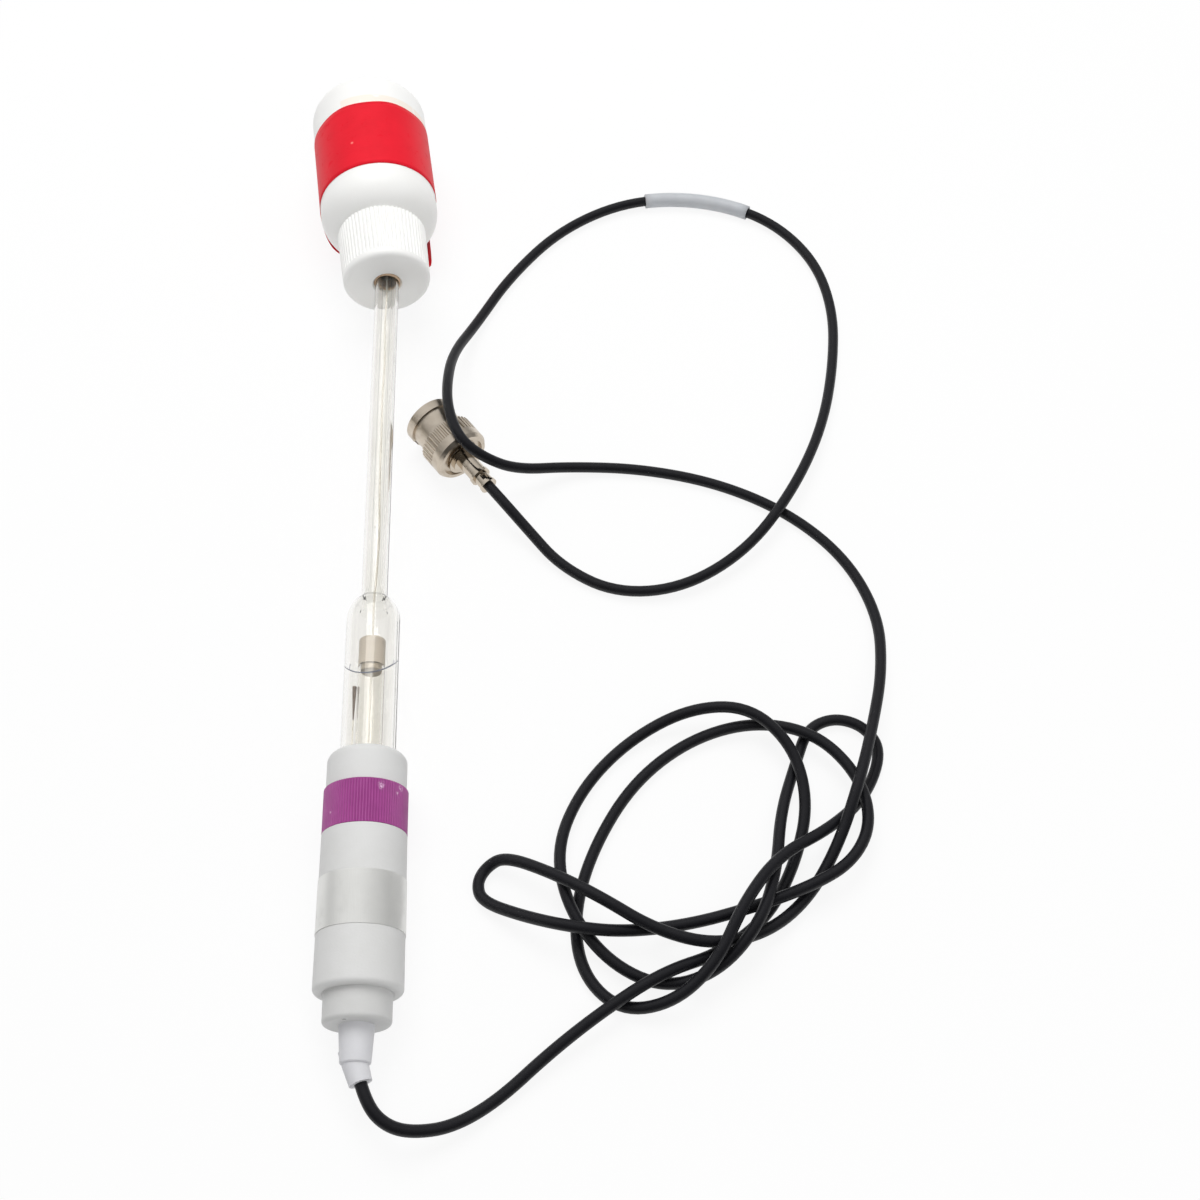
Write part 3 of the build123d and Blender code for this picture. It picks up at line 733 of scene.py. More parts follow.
FINISHES: dict[str, Finish] = {finish.name: finish for finish in (
    Glass("clear_glass", srgb(251, 250, 248), srgb(246, 245, 241), 0.5, 60.0, 0.0, index=1.52),
    Glass("inner_glass", srgb(253, 253, 252), srgb(249, 249, 247), 0.5, 60.0, 0.0, index=1.04),
    Glass("lead_glass", srgb(251, 250, 247), srgb(246, 245, 241), 0.5, 60.0, 0.0, index=1.36),
    Moulded("frit_ceramic", srgb(236, 231, 222), srgb(214, 206, 192), 0.6, 900.0, 0.8),
    Moulded("silver", srgb(204, 199, 189), srgb(184, 178, 167), 0.5, 220.0, 0.4),
    Milky("beige_plug", srgb(210, 200, 186), srgb(197, 185, 168), 0.5, 160.0, 0.4, clear=0.3),
    CoatedWire("reference_metal", srgb(236, 232, 222), srgb(212, 206, 192), 0.5, 500.0, 0.42),
    Moulded("potting", srgb(216, 213, 205), srgb(198, 193, 182), 0.5, 260.0, 0.5),
    Moulded("head_plastic", srgb(224, 224, 223), srgb(217, 217, 215), 0.5, 120.0, 0.5),
    # painted shade: a darker copy of the head plastic for the end plug, which the lamps light less
    Moulded("boss_plastic_painted_shade", srgb(213, 213, 212), srgb(206, 206, 204), 0.5, 120.0, 0.5),
    Moulded("boot_plastic", srgb(222, 222, 225), srgb(214, 214, 218), 0.5, 200.0, 0.5),
    ScuffedRing("ring_plastic", srgb(166, 74, 146), srgb(150, 64, 131), 0.5, 260.0, 0.36),
    Moulded("seal_rubber", srgb(42, 42, 43), srgb(28, 28, 29), 0.5, 500.0, 0.6),
    Film("silver_band", srgb(236, 236, 233), srgb(226, 226, 223), 0.5, 90.0, 0.38),
    BottleWall("bottle_plastic", srgb(250, 250, 248), srgb(246, 245, 242), 0.5, 60.0, 0.4),
    Moulded("cap_plastic", srgb(250, 250, 248), srgb(246, 245, 243), 0.5, 90.0, 0.36),
    # painted light: the grommet's colour lifted to stand in for light that does not reach into the cap's
    # hole
    Moulded("grommet_rubber", srgb(226, 198, 168), srgb(202, 172, 141), 0.6, 300.0, 0.6),
    WrapPaper("red_label", srgb(233, 24, 45), srgb(219, 20, 39), 0.6, 90.0, 0.5, sheen=0.25),
    Moulded("cable_jacket", srgb(23, 23, 27), srgb(16, 16, 20), 0.5, 160.0, 0.42, grain=2600.0, sheen=0.3),
    Milky("marker_sleeve", srgb(215, 218, 222), srgb(203, 207, 213), 0.5, 220.0, 0.36),
    Metal("nickel", srgb(208, 197, 182), srgb(182, 169, 152), 0.5, 240.0, 0.13),
    KnurledMetal("knurled_nickel", srgb(208, 197, 182), srgb(182, 169, 152), 0.5, 240.0, 0.28),
    Metal("contact_metal", srgb(206, 184, 140), srgb(178, 152, 104), 0.5, 300.0, 0.22),
    Metal("pin_metal", srgb(232, 196, 112), srgb(206, 166, 84), 0.5, 400.0, 0.2),
    Moulded("dielectric", srgb(240, 239, 236), srgb(226, 224, 219), 0.5, 300.0, 0.4),
    Moulded("gasket_rubber", srgb(176, 72, 52), srgb(150, 56, 40), 0.5, 400.0, 0.55),
    Milky("fill_solution", srgb(132, 138, 160), srgb(112, 118, 142), 0.5, 300.0, 0.3, clear=0.4),
)}


class Palette:
    """The finished materials, each built when it is first asked for."""

    def __init__(self) -> None:
        """Starts with no material built."""
        self.made: dict[str, bpy.types.Material] = {}

    def get(self, name: str) -> bpy.types.Material:
        """The material of that name."""
        if name not in self.made:
            self.made[name] = FINISHES[name].build()
        return self.made[name]


class PathTree:
    """A Geometry Nodes tree with named inputs that ends in a plain, dressed mesh."""

    SOCKETS = {float: "NodeSocketFloat", int: "NodeSocketInt", Vector: "NodeSocketVector"}

    def __init__(self, name: str, inputs: dict[str, Any]) -> None:
        """Opens the tree.

        Args:
            name: The tree's name.
            inputs: A first value for each named input.
        """
        self.tree = bpy.data.node_groups.new(name, "GeometryNodeTree")
        self.tree.interface.new_socket("Geometry", in_out="INPUT", socket_type="NodeSocketGeometry")
        self.ids: dict[str, str] = {}
        for label, value in inputs.items():
            made = self.tree.interface.new_socket(
                label, in_out="INPUT", socket_type=self.SOCKETS[type(value)])
            made.default_value = value
            self.ids[label] = made.identifier
        made = self.tree.interface.new_socket("Material", in_out="INPUT", socket_type="NodeSocketMaterial")
        self.ids["Material"] = made.identifier
        self.tree.interface.new_socket("Geometry", in_out="OUTPUT", socket_type="NodeSocketGeometry")
        self.graph = Graph(self.tree)
        self.given = self.graph.add("NodeGroupInput").outputs

    def round_off(self, curve: Socket, caps: bool) -> None:
        """Carries a circle along a curve and ends the tree.

        Args:
            curve: The path.
            caps: Whether its ends are closed.
        """
        circle = self.graph.add("GeometryNodeCurvePrimitiveCircle", {
            "Resolution": self.given["Sides"], "Radius": self.given["Radius"]}).outputs[0]
        tube = self.graph.add("GeometryNodeCurveToMesh", {
            "Curve": curve, "Profile Curve": circle, "Fill Caps": caps}).outputs[0]
        shaded = self.graph.add("GeometryNodeSetShadeSmooth", {"Geometry": tube}).outputs[0]
        real = self.graph.add("GeometryNodeRealizeInstances", {"Geometry": shaded}).outputs[0]
        dressed = self.graph.add("GeometryNodeSetMaterial", {
            "Geometry": real, "Material": self.given["Material"]}).outputs[0]
        self.graph.add("NodeGroupOutput", {"Geometry": dressed})

    def run(self, name: str, start: bpy.types.Mesh, wall: float, **values: Any) -> bpy.types.Object:
        """Runs the tree on a mesh and keeps the result as a plain mesh.

        Args:
            name: The new piece's name.
            start: The mesh that the tree is given.
            wall: The thickness of the wall in metres, or 0 for a full section.
            values: A value for each named input.

        Returns:
            The new piece.
        """
        piece = add_object(name, start)
        nodes = piece.modifiers.new("path", "NODES")
        nodes.node_group = self.tree
        for label, value in values.items():
            nodes[self.ids[label]] = value
        if wall:
            thick = piece.modifiers.new("wall", "SOLIDIFY")
            thick.thickness = wall
        return settle(piece)


def settle(piece: bpy.types.Object) -> bpy.types.Object:
    """Turns a piece's evaluated shape into its own plain mesh, with no modifier left."""
    bpy.context.view_layer.update()
    shown = piece.evaluated_get(bpy.context.evaluated_depsgraph_get())
    mesh = bpy.data.meshes.new_from_object(shown)
    piece.modifiers.clear()
    piece.data = mesh
    return piece


def path_mesh(name: str, points: list[Vector]) -> bpy.types.Mesh:
    """A mesh of edges only, from one point to the next."""
    mesh = bpy.data.meshes.new(name)
    mesh.from_pydata(points, [(i, i + 1) for i in range(len(points) - 1)], [])
    return mesh


def tube_tree(caps: bool) -> PathTree:
    """The tree that carries a round section along a path of edges, with closed or open ends."""
    name = "round_along_path" if caps else "sleeve_along_path"
    tree = PathTree(name, {"Radius": 0.001, "Sides": 32})
    curve = tree.graph.add("GeometryNodeMeshToCurve", {"Mesh": tree.given["Geometry"]}).outputs[0]
    tree.round_off(curve, caps)
    return tree


def swaying_wire_tree() -> PathTree:
    """The tree that draws a wire which runs straight at first and then sways from side to side."""
    tree = PathTree("swaying_wire", {
        "Start": Vector(), "End": Vector(), "Points": 200, "Straight": 0.3, "Settle": 0.4, "Sway": 0.0005,
        "Waves": 30.0, "Phase": 3.0, "Radius": 0.0003, "Sides": 10})
    graph = tree.graph
    line = graph.add("GeometryNodeCurvePrimitiveLine", {
        "Start": tree.given["Start"], "End": tree.given["End"]})
    points = graph.add("GeometryNodeResampleCurve", {
        "Curve": line.outputs[0], "Count": tree.given["Points"]}).outputs[0]
    share = graph.add("GeometryNodeSplineParameter").outputs["Factor"]
    freed = graph.spread(share, tree.given["Straight"], tree.given["Settle"])
    noise = graph.add("ShaderNodeTexNoise", {
        "Vector": graph.add("GeometryNodeInputPosition").outputs[0], "W": tree.given["Phase"],
        "Scale": tree.given["Waves"], "Detail": 1.0}, noise_dimensions="4D").outputs["Color"]
    centred = graph.vector("SUBTRACT", noise, (0.5, 0.5, 0.5))
    level = graph.vector("MULTIPLY", centred, (1.0, 0.0, 1.0))
    reach = graph.add("ShaderNodeMath", {0: freed, 1: tree.given["Sway"]}, operation="MULTIPLY").outputs[0]
    offset = graph.add("ShaderNodeVectorMath", {0: level, "Scale": reach}, operation="SCALE").outputs[0]
    swayed = graph.add("GeometryNodeSetPosition", {"Geometry": points, "Offset": offset}).outputs[0]
    tree.round_off(swayed, True)
    return tree


def spiral_tree() -> PathTree:
    """The tree that winds a round ridge about an axis, as a bottle's thread."""
    tree = PathTree("spiral_ridge", {
        "Turns": 1.5, "Steps": 72, "Bend Radius": 0.01, "Height": 0.004, "Start": Vector(),
        "Turn": Vector(), "Radius": 0.0004, "Sides": 10})
    graph = tree.graph
    spiral = graph.add("GeometryNodeCurveSpiral", {
        "Resolution": tree.given["Steps"], "Rotations": tree.given["Turns"],
        "Start Radius": tree.given["Bend Radius"], "End Radius": tree.given["Bend Radius"],
        "Height": tree.given["Height"]}).outputs[0]
    placed = graph.add("GeometryNodeTransform", {
        "Geometry": spiral, "Translation": tree.given["Start"], "Rotation": tree.given["Turn"]}).outputs[0]
    tree.round_off(placed, True)
    return tree


@dataclass
class SubAssembly:
    """A group of pieces that are dressed together.

    Attributes:
        COATS: The solids of the frame that each finish lies on.
        palette: Where its materials come from.
    """

    COATS: ClassVar[dict[str, tuple[str, ...]]] = {}
    palette: Palette

    def make(self) -> None:
        """Gives the solids their finishes."""
        for finish, nodes in self.COATS.items():
            for name in nodes:
                solid = frame["nodes"][name]
                solid.data.materials.clear()
                solid.data.materials.append(self.palette.get(finish))
                log.info("%s has the finish %s", name, finish)

    def seat(self, piece: bpy.types.Object, body: Body, slot: str, *stands_for: str) -> None:
        """Puts a finished piece on its body.

        Args:
            piece: The piece.
            body: The body it rides on.
            slot: The record's material slot; not used.
            stands_for: The solids that it replaces.
        """
        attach(piece, body.value)
        if stands_for:
            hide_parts(*stands_for)
        log.info("%s rides on %s", piece.name, body.value)


@dataclass
class Lead(SubAssembly):
    """The coaxial lead, the sleeve on it and the route that it lies along.

    Attributes:
        radius: Half the lead's diameter, in millimetres.
        length: Its real length in metres.
        sleeve_radius: The sleeve's outer radius, in millimetres.
        sleeve_wall: The sleeve's wall.
        sleeve_half: Half the sleeve's length.
        sleeve_middle: The point of the route that the sleeve sits at.
        mouth: Where the lead leaves the strain relief, and the point after it.
        ending: The point before the ferrule, and the one where the lead enters it.
        route: The points between them, as the lead lies in loose loops on the table.
    """

    radius: float = 1.4
    length: float = 1.39
    sleeve_radius: float = 2.05
    sleeve_wall: float = 0.5
    sleeve_half: float = 14.6
    sleeve_middle: Point = (0.0948, 0.1181, 0.00215)
    mouth: tuple[Point, ...] = ((0.0066288, -0.1424796, 0.0093413), (0.0081739, -0.1472324, 0.009188))
    ending: tuple[Point, ...] = ((0.0364084, 0.0076345, 0.00765), (0.03305, 0.01224, 0.00765))
    route: tuple[Point, ...] = (
        (0.0121, -0.1510, 0.0074), (0.0175, -0.1521, 0.0056), (0.0258, -0.1506, 0.0032),
        (0.0353, -0.1449, 0.00145), (0.0468, -0.1352, 0.0032), (0.0593, -0.1264, 0.0049),
        (0.0723, -0.1188, 0.0058), (0.0853, -0.1136, 0.0015), (0.0968, -0.1054, 0.00145),
        (0.1043, -0.0924, 0.0015), (0.1085, -0.0779, 0.0035), (0.1058, -0.0639, 0.0056),
        (0.0958, -0.0542, 0.0078), (0.0813, -0.0529, 0.0046), (0.0663, -0.0599, 0.00145),
        (0.0548, -0.0724, 0.0015), (0.0487, -0.0879, 0.0033), (0.0513, -0.1034, 0.0052),
        (0.0598, -0.1154, 0.0033), (0.0723, -0.1214, 0.0015), (0.0848, -0.1186, 0.0042),
        (0.0943, -0.1094, 0.0097), (0.0993, -0.0954, 0.0062), (0.1018, -0.0799, 0.0027),
        (0.1068, -0.0664, 0.00145), (0.1102, -0.0578, 0.0015), (0.1172, -0.0548, 0.00145),
        (0.1244, -0.0576, 0.0015), (0.1277, -0.0646, 0.00145), (0.1223, -0.0764, 0.0015),
        (0.1123, -0.0856, 0.0048), (0.0998, -0.0934, 0.0096), (0.0908, -0.1049, 0.0111),
        (0.0843, -0.1174, 0.0079), (0.0743, -0.1256, 0.0047), (0.0623, -0.1262, 0.00145),
        (0.0539, -0.1174, 0.0015), (0.0525, -0.1034, 0.00145), (0.0573, -0.0874, 0.0015),
        (0.0673, -0.0709, 0.00145), (0.0813, -0.0599, 0.0015), (0.0968, -0.0562, 0.0032),
        (0.1113, -0.0604, 0.0050), (0.1205, -0.0714, 0.0051), (0.1226, -0.0839, 0.0054),
        (0.1173, -0.0939, 0.0057), (0.1068, -0.0999, 0.0060), (0.0933, -0.1038, 0.0040),
        (0.0788, -0.1070, 0.0027), (0.0638, -0.1094, 0.0057), (0.0515, -0.1088, 0.0087),
        (0.0408, -0.1046, 0.0050), (0.0315, -0.0996, 0.00145), (0.0303, -0.0951, 0.0015),
        (0.0326, -0.0911, 0.00145), (0.0370, -0.0898, 0.0042), (0.0473, -0.0950, 0.0070),
        (0.0583, -0.1022, 0.0098), (0.0703, -0.1096, 0.0078), (0.0833, -0.1130, 0.0057),
        (0.0963, -0.1098, 0.0036), (0.1068, -0.1009, 0.00145), (0.1143, -0.0894, 0.0053),
        (0.1201, -0.0754, 0.0093), (0.1253, -0.0599, 0.0066), (0.1298, -0.0439, 0.0040),
        (0.1313, -0.0264, 0.00145), (0.1248, -0.0089, 0.0015), (0.1113, 0.0056, 0.00145),
        (0.0933, 0.0156, 0.0015), (0.0733, 0.0209, 0.00145), (0.0543, 0.0218, 0.0020),
        (0.0402, 0.0171, 0.0078), (0.0318, 0.0170, 0.0139), (0.0260, 0.0205, 0.01735),
        (0.0229, 0.0293, 0.0177), (0.0221, 0.0407, 0.0150), (0.0231, 0.0562, 0.0087),
        (0.0288, 0.0716, 0.0020), (0.0383, 0.0896, 0.00145), (0.0533, 0.1076, 0.0015),
        (0.0733, 0.1179, 0.0021), (0.0948, 0.1181, 0.00215), (0.1138, 0.1101, 0.0021),
        (0.1263, 0.0946, 0.0015), (0.1303, 0.0746, 0.00145), (0.1278, 0.0526, 0.0015),
        (0.1223, 0.0311, 0.0033), (0.1128, 0.0106, 0.0051), (0.0998, -0.0069, 0.0039),
        (0.0828, -0.0174, 0.0027), (0.0653, -0.0179, 0.00145), (0.0513, -0.0094, 0.0015),
        (0.0425, 0.0012, 0.0042),
    )

    def spline(self, name: str, bevel: float) -> bpy.types.Object:
        """Draws the route as one smooth open curve.

        Args:
            name: The curve's name.
            bevel: Half its diameter in metres, or 0 for its line alone.

        Returns:
            The curve's object.
        """
        curve = bpy.data.curves.new(name, "CURVE")
        curve.dimensions = "3D"
        points = [*self.mouth, *self.route, *self.ending]
        spline = curve.splines.new("NURBS")
        spline.points.add(len(points) - 1)
        for control, point in zip(spline.points, points):
            control.co = (*point, 1.0)
        spline.order_u = 3
        spline.use_endpoint_u = True
        spline.resolution_u = 8
        curve.bevel_depth = bevel
        curve.bevel_resolution = 5
        curve.use_fill_caps = True
        return add_object(name, curve)

    def centreline(self) -> list[Vector]:
        """The points of the route's own curve, in order."""
        bare = self.spline("route_line", 0.0)
        bpy.context.view_layer.update()
        mesh = bpy.data.meshes.new_from_object(bare.evaluated_get(bpy.context.evaluated_depsgraph_get()))
        points = [vertex.co.copy() for vertex in mesh.vertices]
        bpy.data.objects.remove(bare)
        return points

    def sleeve_path(self) -> list[Vector]:
        """The stretch of the route that the sleeve covers."""
        line = self.centreline()
        middle = Vector(self.sleeve_middle)
        centre = min(range(len(line)), key=lambda i: (line[i] - middle).length)
        stretch = [line[centre]]
        for step in (-1, 1):
            i, covered = centre, 0.0
            side: list[Vector] = []
            while covered < self.sleeve_half * MM:
                covered += (line[i + step] - line[i]).length
                i += step
                side.append(line[i])
            stretch = side[::-1] + stretch if step < 0 else stretch + side
        return stretch

    def make(self) -> None:
        lead = self.spline("cable", self.radius * MM)
        lead.data.materials.append(self.palette.get("cable_jacket"))
        self.seat(lead, Body.ELECTRODE, "cable_jacket", "cable_lead")
        sleeve = tube_tree(False).run(
            "marker", path_mesh("marker_path", self.sleeve_path()), self.sleeve_wall * MM,
            Radius=self.sleeve_radius * MM, Material=self.palette.get("marker_sleeve"))
        self.seat(sleeve, Body.ELECTRODE, "marker_sleeve", "cable_marker")


class Head(SubAssembly):
    """The head of the electrode: barrel, wrap, ring, collar, end plug and strain relief."""

    COATS = {
        "head_plastic": ("head_collar", "head_barrel"),
        # painted shade: the end plug wears a darker copy of the head plastic
        "boss_plastic_painted_shade": ("end_plug",),
        "boot_plastic": ("strain_relief",),
        "ring_plastic": ("fill_ring",),
        "seal_rubber": ("ring_seal_front", "ring_seal_rear"),
        "silver_band": ("label_band",),
    }


@dataclass
class GlassStem(SubAssembly):
    """The glass, what is inside it, and the line where its filling ends.

    Attributes:
        wire_start: Where the wire starts along the electrode, in millimetres.
        wire_straight: Where it leaves its plug and starts to sway.
        wire_settled: Where its sway is full.
        wire_end: Where it ends in the bulb.
        wire_radius: Half the wire's diameter.
        wire_sway: How far the wire sways at most, to both sides together.
        line_station: Where the filling ends along the wide tube, at its sides.
        line_dip: How much nearer the head it ends at the top of the bore.
        line_lean: How much further it reaches on the right than on the left.
        line_radius: The radius of the wide tube's bore there.
        line_thick: Half the thickness of the line.
        line_steps: How many straight steps it is drawn in.
        line_sides: The sides of its section.
    """

    COATS = {
        "clear_glass": ("glass_body",),
        "inner_glass": ("inner_tube",),
        "lead_glass": ("lead_tube",),
        "frit_ceramic": ("junction_frit",),
        "beige_plug": ("lead_plug",),
        "reference_metal": ("reference_wire",),
        "potting": ("potting_seal",),
    }
    wire_start: float = 20.0
    wire_straight: float = 88.0
    wire_settled: float = 104.0
    wire_end: float = 234.8
    wire_radius: float = 0.25
    wire_sway: float = 2.2
    line_station: float = 81.0
    line_dip: float = 5.4
    line_lean: float = 0.4
    line_radius: float = 5.3
    line_thick: float = 0.14
    line_steps: int = 40
    line_sides: int = 10

    def make(self) -> None:
        """Dresses the glass and makes the swaying wire and the line of the filling."""
        super().make()
        self.make_wire()
        self.make_fill_line()

    def make_wire(self) -> None:
        """Makes the silver wire, which sways a little in its tube."""
        run = self.wire_end - self.wire_start
        wire = swaying_wire_tree().run(
            "lead_wire", bpy.data.meshes.new("lead_wire_start"), 0.0,
            Start=ELECTRODE.at(self.wire_start), End=ELECTRODE.at(self.wire_end),
            Straight=(self.wire_straight - self.wire_start) / run,
            Settle=(self.wire_settled - self.wire_start) / run,
            Sway=self.wire_sway * MM, Radius=self.wire_radius * MM, Material=self.palette.get("silver"))
        self.seat(wire, Body.ELECTRODE, "silver", "silver_wire")

    def make_fill_line(self) -> None:
        """Makes the line of the filling, which lies round the upper half of the bore."""
        points = []
        for i in range(self.line_steps + 1):
            angle = 180.0 * i / self.line_steps
            turn = radians(angle)
            station = self.line_station - self.line_dip * sin(turn) + self.line_lean * cos(turn)
            points.append(ELECTRODE.around(station, self.line_radius, angle))
        line = tube_tree(True).run(
            "fill_line", path_mesh("fill_line_path", points), 0.0, Radius=self.line_thick * MM,
            Sides=self.line_sides, Material=self.palette.get("fill_solution"))
        self.seat(line, Body.ELECTRODE, "clear_glass")


@dataclass
class StorageBottle(SubAssembly):
    """The storage bottle with its wrap, cap and grommet.

    Attributes:
        wrap_radius: The wrap's inner radius, in millimetres.
        wrap_wall: Its thickness.
        wrap_start: Its near edge along the bottle, in the middle of its top.
        wrap_end: Its far edge.
        wrap_skew: How much nearer the cap its left end lies than the middle of its top.
        wrap_right: The angle of its right end, in degrees from the bottle's right side over the top.
        wrap_left: The angle of its left end.
        tail_start: Where the loose tail at its right end reaches to, towards the cap.
        tail_angle: The angle below which the tail hangs and stands off the bottle.
        tail_share: The share of the way from there to the right end in which it gets to its full length.
        tail_lift: How far the tail stands off at most.
        tail_curl: Over how many degrees it comes to do so.
        left_hang: How much further towards the cap its left end hangs.
        left_angle: The angle past which it does.
        left_turn: Over how many degrees it comes to do so.
        left_lift: How far its left end stands off the bottle.
        left_loose: The angle past which it does.
        edge_wave: How far the far edge waves to either side.
        edge_waves: How many waves it would have in a full turn.
        wrap_columns: The steps round the wrap.
        wrap_rows: The steps along it.
        lip_radius: The outer radius of the grommet's lip round the stem.
        lip_wall: The lip's wall.
        lip_sides: The sides of its section.
        lip_start: Where the lip starts along the electrode, in the cap's hole.
        lip_end: Where it meets the grommet.
        thread_radius: The radius that the neck's thread is wound at.
        thread_start: Where the thread starts along the bottle.
        thread_rise: Its rise.
        thread_turns: Its turns.
        thread_ridge: Half its thickness.
    """

    COATS = {
        "bottle_plastic": ("soaker_bottle",),
        "cap_plastic": ("soaker_cap",),
        # painted light: the grommet's rubber is lightened for the dim hole it sits in
        "grommet_rubber": ("soaker_grommet",),
    }
    wrap_radius: float = 16.38
    wrap_wall: float = 0.14
    wrap_start: float = 29.6
    wrap_end: float = 54.0
    wrap_skew: float = 0.8
    wrap_right: float = -56.0
    wrap_left: float = 228.0
    tail_start: float = 16.8
    tail_angle: float = -35.0
    tail_share: float = 0.5
    tail_lift: float = 1.6
    tail_curl: float = 11.0
    left_hang: float = 6.0
    left_angle: float = 168.0
    left_turn: float = 44.0
    left_lift: float = 0.1
    left_loose: float = 206.0
    edge_wave: float = 0.18
    edge_waves: float = 7.0
    wrap_columns: int = 138
    wrap_rows: int = 16
    lip_radius: float = 3.52
    lip_wall: float = 0.28
    lip_sides: int = 48
    lip_start: float = 198.45
    lip_end: float = 199.8
    thread_radius: float = 10.15
    thread_start: float = 6.0
    thread_rise: float = 4.5
    thread_turns: float = 1.5
    thread_ridge: float = 0.4

    def make(self) -> None:
        """Dresses the bottle's solids and makes its wrap, its thread and the grommet's lip."""
        super().make()
        self.make_wrap()
        self.make_thread()
        self.make_lip()

    def skew(self, angle: float) -> float:
        """How much nearer the cap the wrap lies at an angle than in the middle of its top."""
        half = (self.wrap_left - self.wrap_right) / 2
        middle = (self.wrap_left + self.wrap_right) / 2
        return self.wrap_skew * (angle - middle) / half

    def near_edge(self, angle: float) -> float:
        """The station of the wrap's near edge at an angle, with its skew and its loose ends."""
        straight = self.wrap_start - self.skew(angle)
        span = (self.tail_angle - self.wrap_right) * self.tail_share
        right = smooth((self.tail_angle - angle) / span)
        left = smooth((angle - self.left_angle) / self.left_turn)
        return straight + (self.tail_start - straight) * right - self.left_hang * left

    def lift(self, angle: float) -> float:
        """How far the wrap stands off the bottle at an angle, which it does at its loose ends."""
        left_end = smooth((angle - self.left_loose) / (self.wrap_left - self.left_loose))
        right_end = smooth((self.tail_angle - angle) / self.tail_curl)
        return self.left_lift * left_end + self.tail_lift * right_end

    def make_wrap(self) -> None:
        """Makes the red wrap round the bottle, with a loose tail under its right side."""
        rows = self.wrap_rows
        built = bmesh.new()
        grid = []
        for i in range(self.wrap_columns + 1):
            angle = self.wrap_right + (self.wrap_left - self.wrap_right) * i / self.wrap_columns
            near = self.near_edge(angle)
            wave = self.edge_wave * sin(radians(self.edge_waves * angle))
            far = self.wrap_end - self.skew(angle) + wave
            radius = self.wrap_radius + self.lift(angle)
            stations = [near + (far - near) * j / rows for j in range(rows + 1)]
            grid.append([built.verts.new(BOTTLE.around(station, radius, angle)) for station in stations])
        for left, right in zip(grid, grid[1:]):
            for j in range(rows):
                built.faces.new((left[j], left[j + 1], right[j + 1], right[j]))
        bmesh.ops.recalc_face_normals(built, faces=built.faces)
        mesh = bpy.data.meshes.new("wrap")
        built.to_mesh(mesh)
        built.free()
        mesh.materials.append(self.palette.get("red_label"))
        mesh.polygons.foreach_set("use_smooth", [True] * len(mesh.polygons))
        wrap = add_object("wrap", mesh)
        outward = (mesh.vertices[0].co - BOTTLE.at(self.wrap_start)).dot(mesh.vertices[0].normal)
        wall = wrap.modifiers.new("wall", "SOLIDIFY")
        wall.thickness = self.wrap_wall * MM
        wall.offset = 1.0 if outward > 0 else -1.0
        self.seat(settle(wrap), Body.BOTTLE, "red_label", "bottle_label")

    def make_thread(self) -> None:
        """Winds the thread round the bottle's neck."""
        thread = spiral_tree().run(
            "neck_thread", bpy.data.meshes.new("neck_thread_start"), 0.0, Turns=self.thread_turns,
            Height=self.thread_rise * MM, Start=BOTTLE.at(self.thread_start),
            Turn=Vector(BOTTLE.turn().to_euler()), Radius=self.thread_ridge * MM,
            Material=self.palette.get("bottle_plastic"), **{"Bend Radius": self.thread_radius * MM})
        self.seat(thread, Body.BOTTLE, "bottle_plastic")

    def make_lip(self) -> None:
        """Makes the grommet's lip, which shows round the stem in the cap's hole."""
        run = [ELECTRODE.at(self.lip_start), ELECTRODE.at(self.lip_end)]
        # painted light: the lip wears the lightened grommet rubber
        lip = tube_tree(False).run(
            "grommet_lip", path_mesh("grommet_lip_path", run), self.lip_wall * MM, Sides=self.lip_sides,
            Radius=self.lip_radius * MM, Material=self.palette.get("grommet_rubber"))
        self.seat(lip, Body.GROMMET, "grommet_rubber")


class BayonetPlug(SubAssembly):
    """The bayonet plug at the end of the lead."""

    COATS = {
        "nickel": ("bnc_ferrule", "bnc_body"),
        "knurled_nickel": ("bnc_ring",),
        "contact_metal": ("bnc_contact", "bnc_wave_washer"),
        "pin_metal": ("bnc_pin",),
        "dielectric": ("bnc_insulator",),
        "gasket_rubber": ("bnc_gasket",),
    }


@dataclass(frozen=True)
class Lamp:
    """A soft square lamp.

    Attributes:
        name: Its name.
        place: Where it stands, in metres.
        size: The length of its side.
        power: Its power in watts.
    """

    name: str
    place: Point
    size: float
    power: float


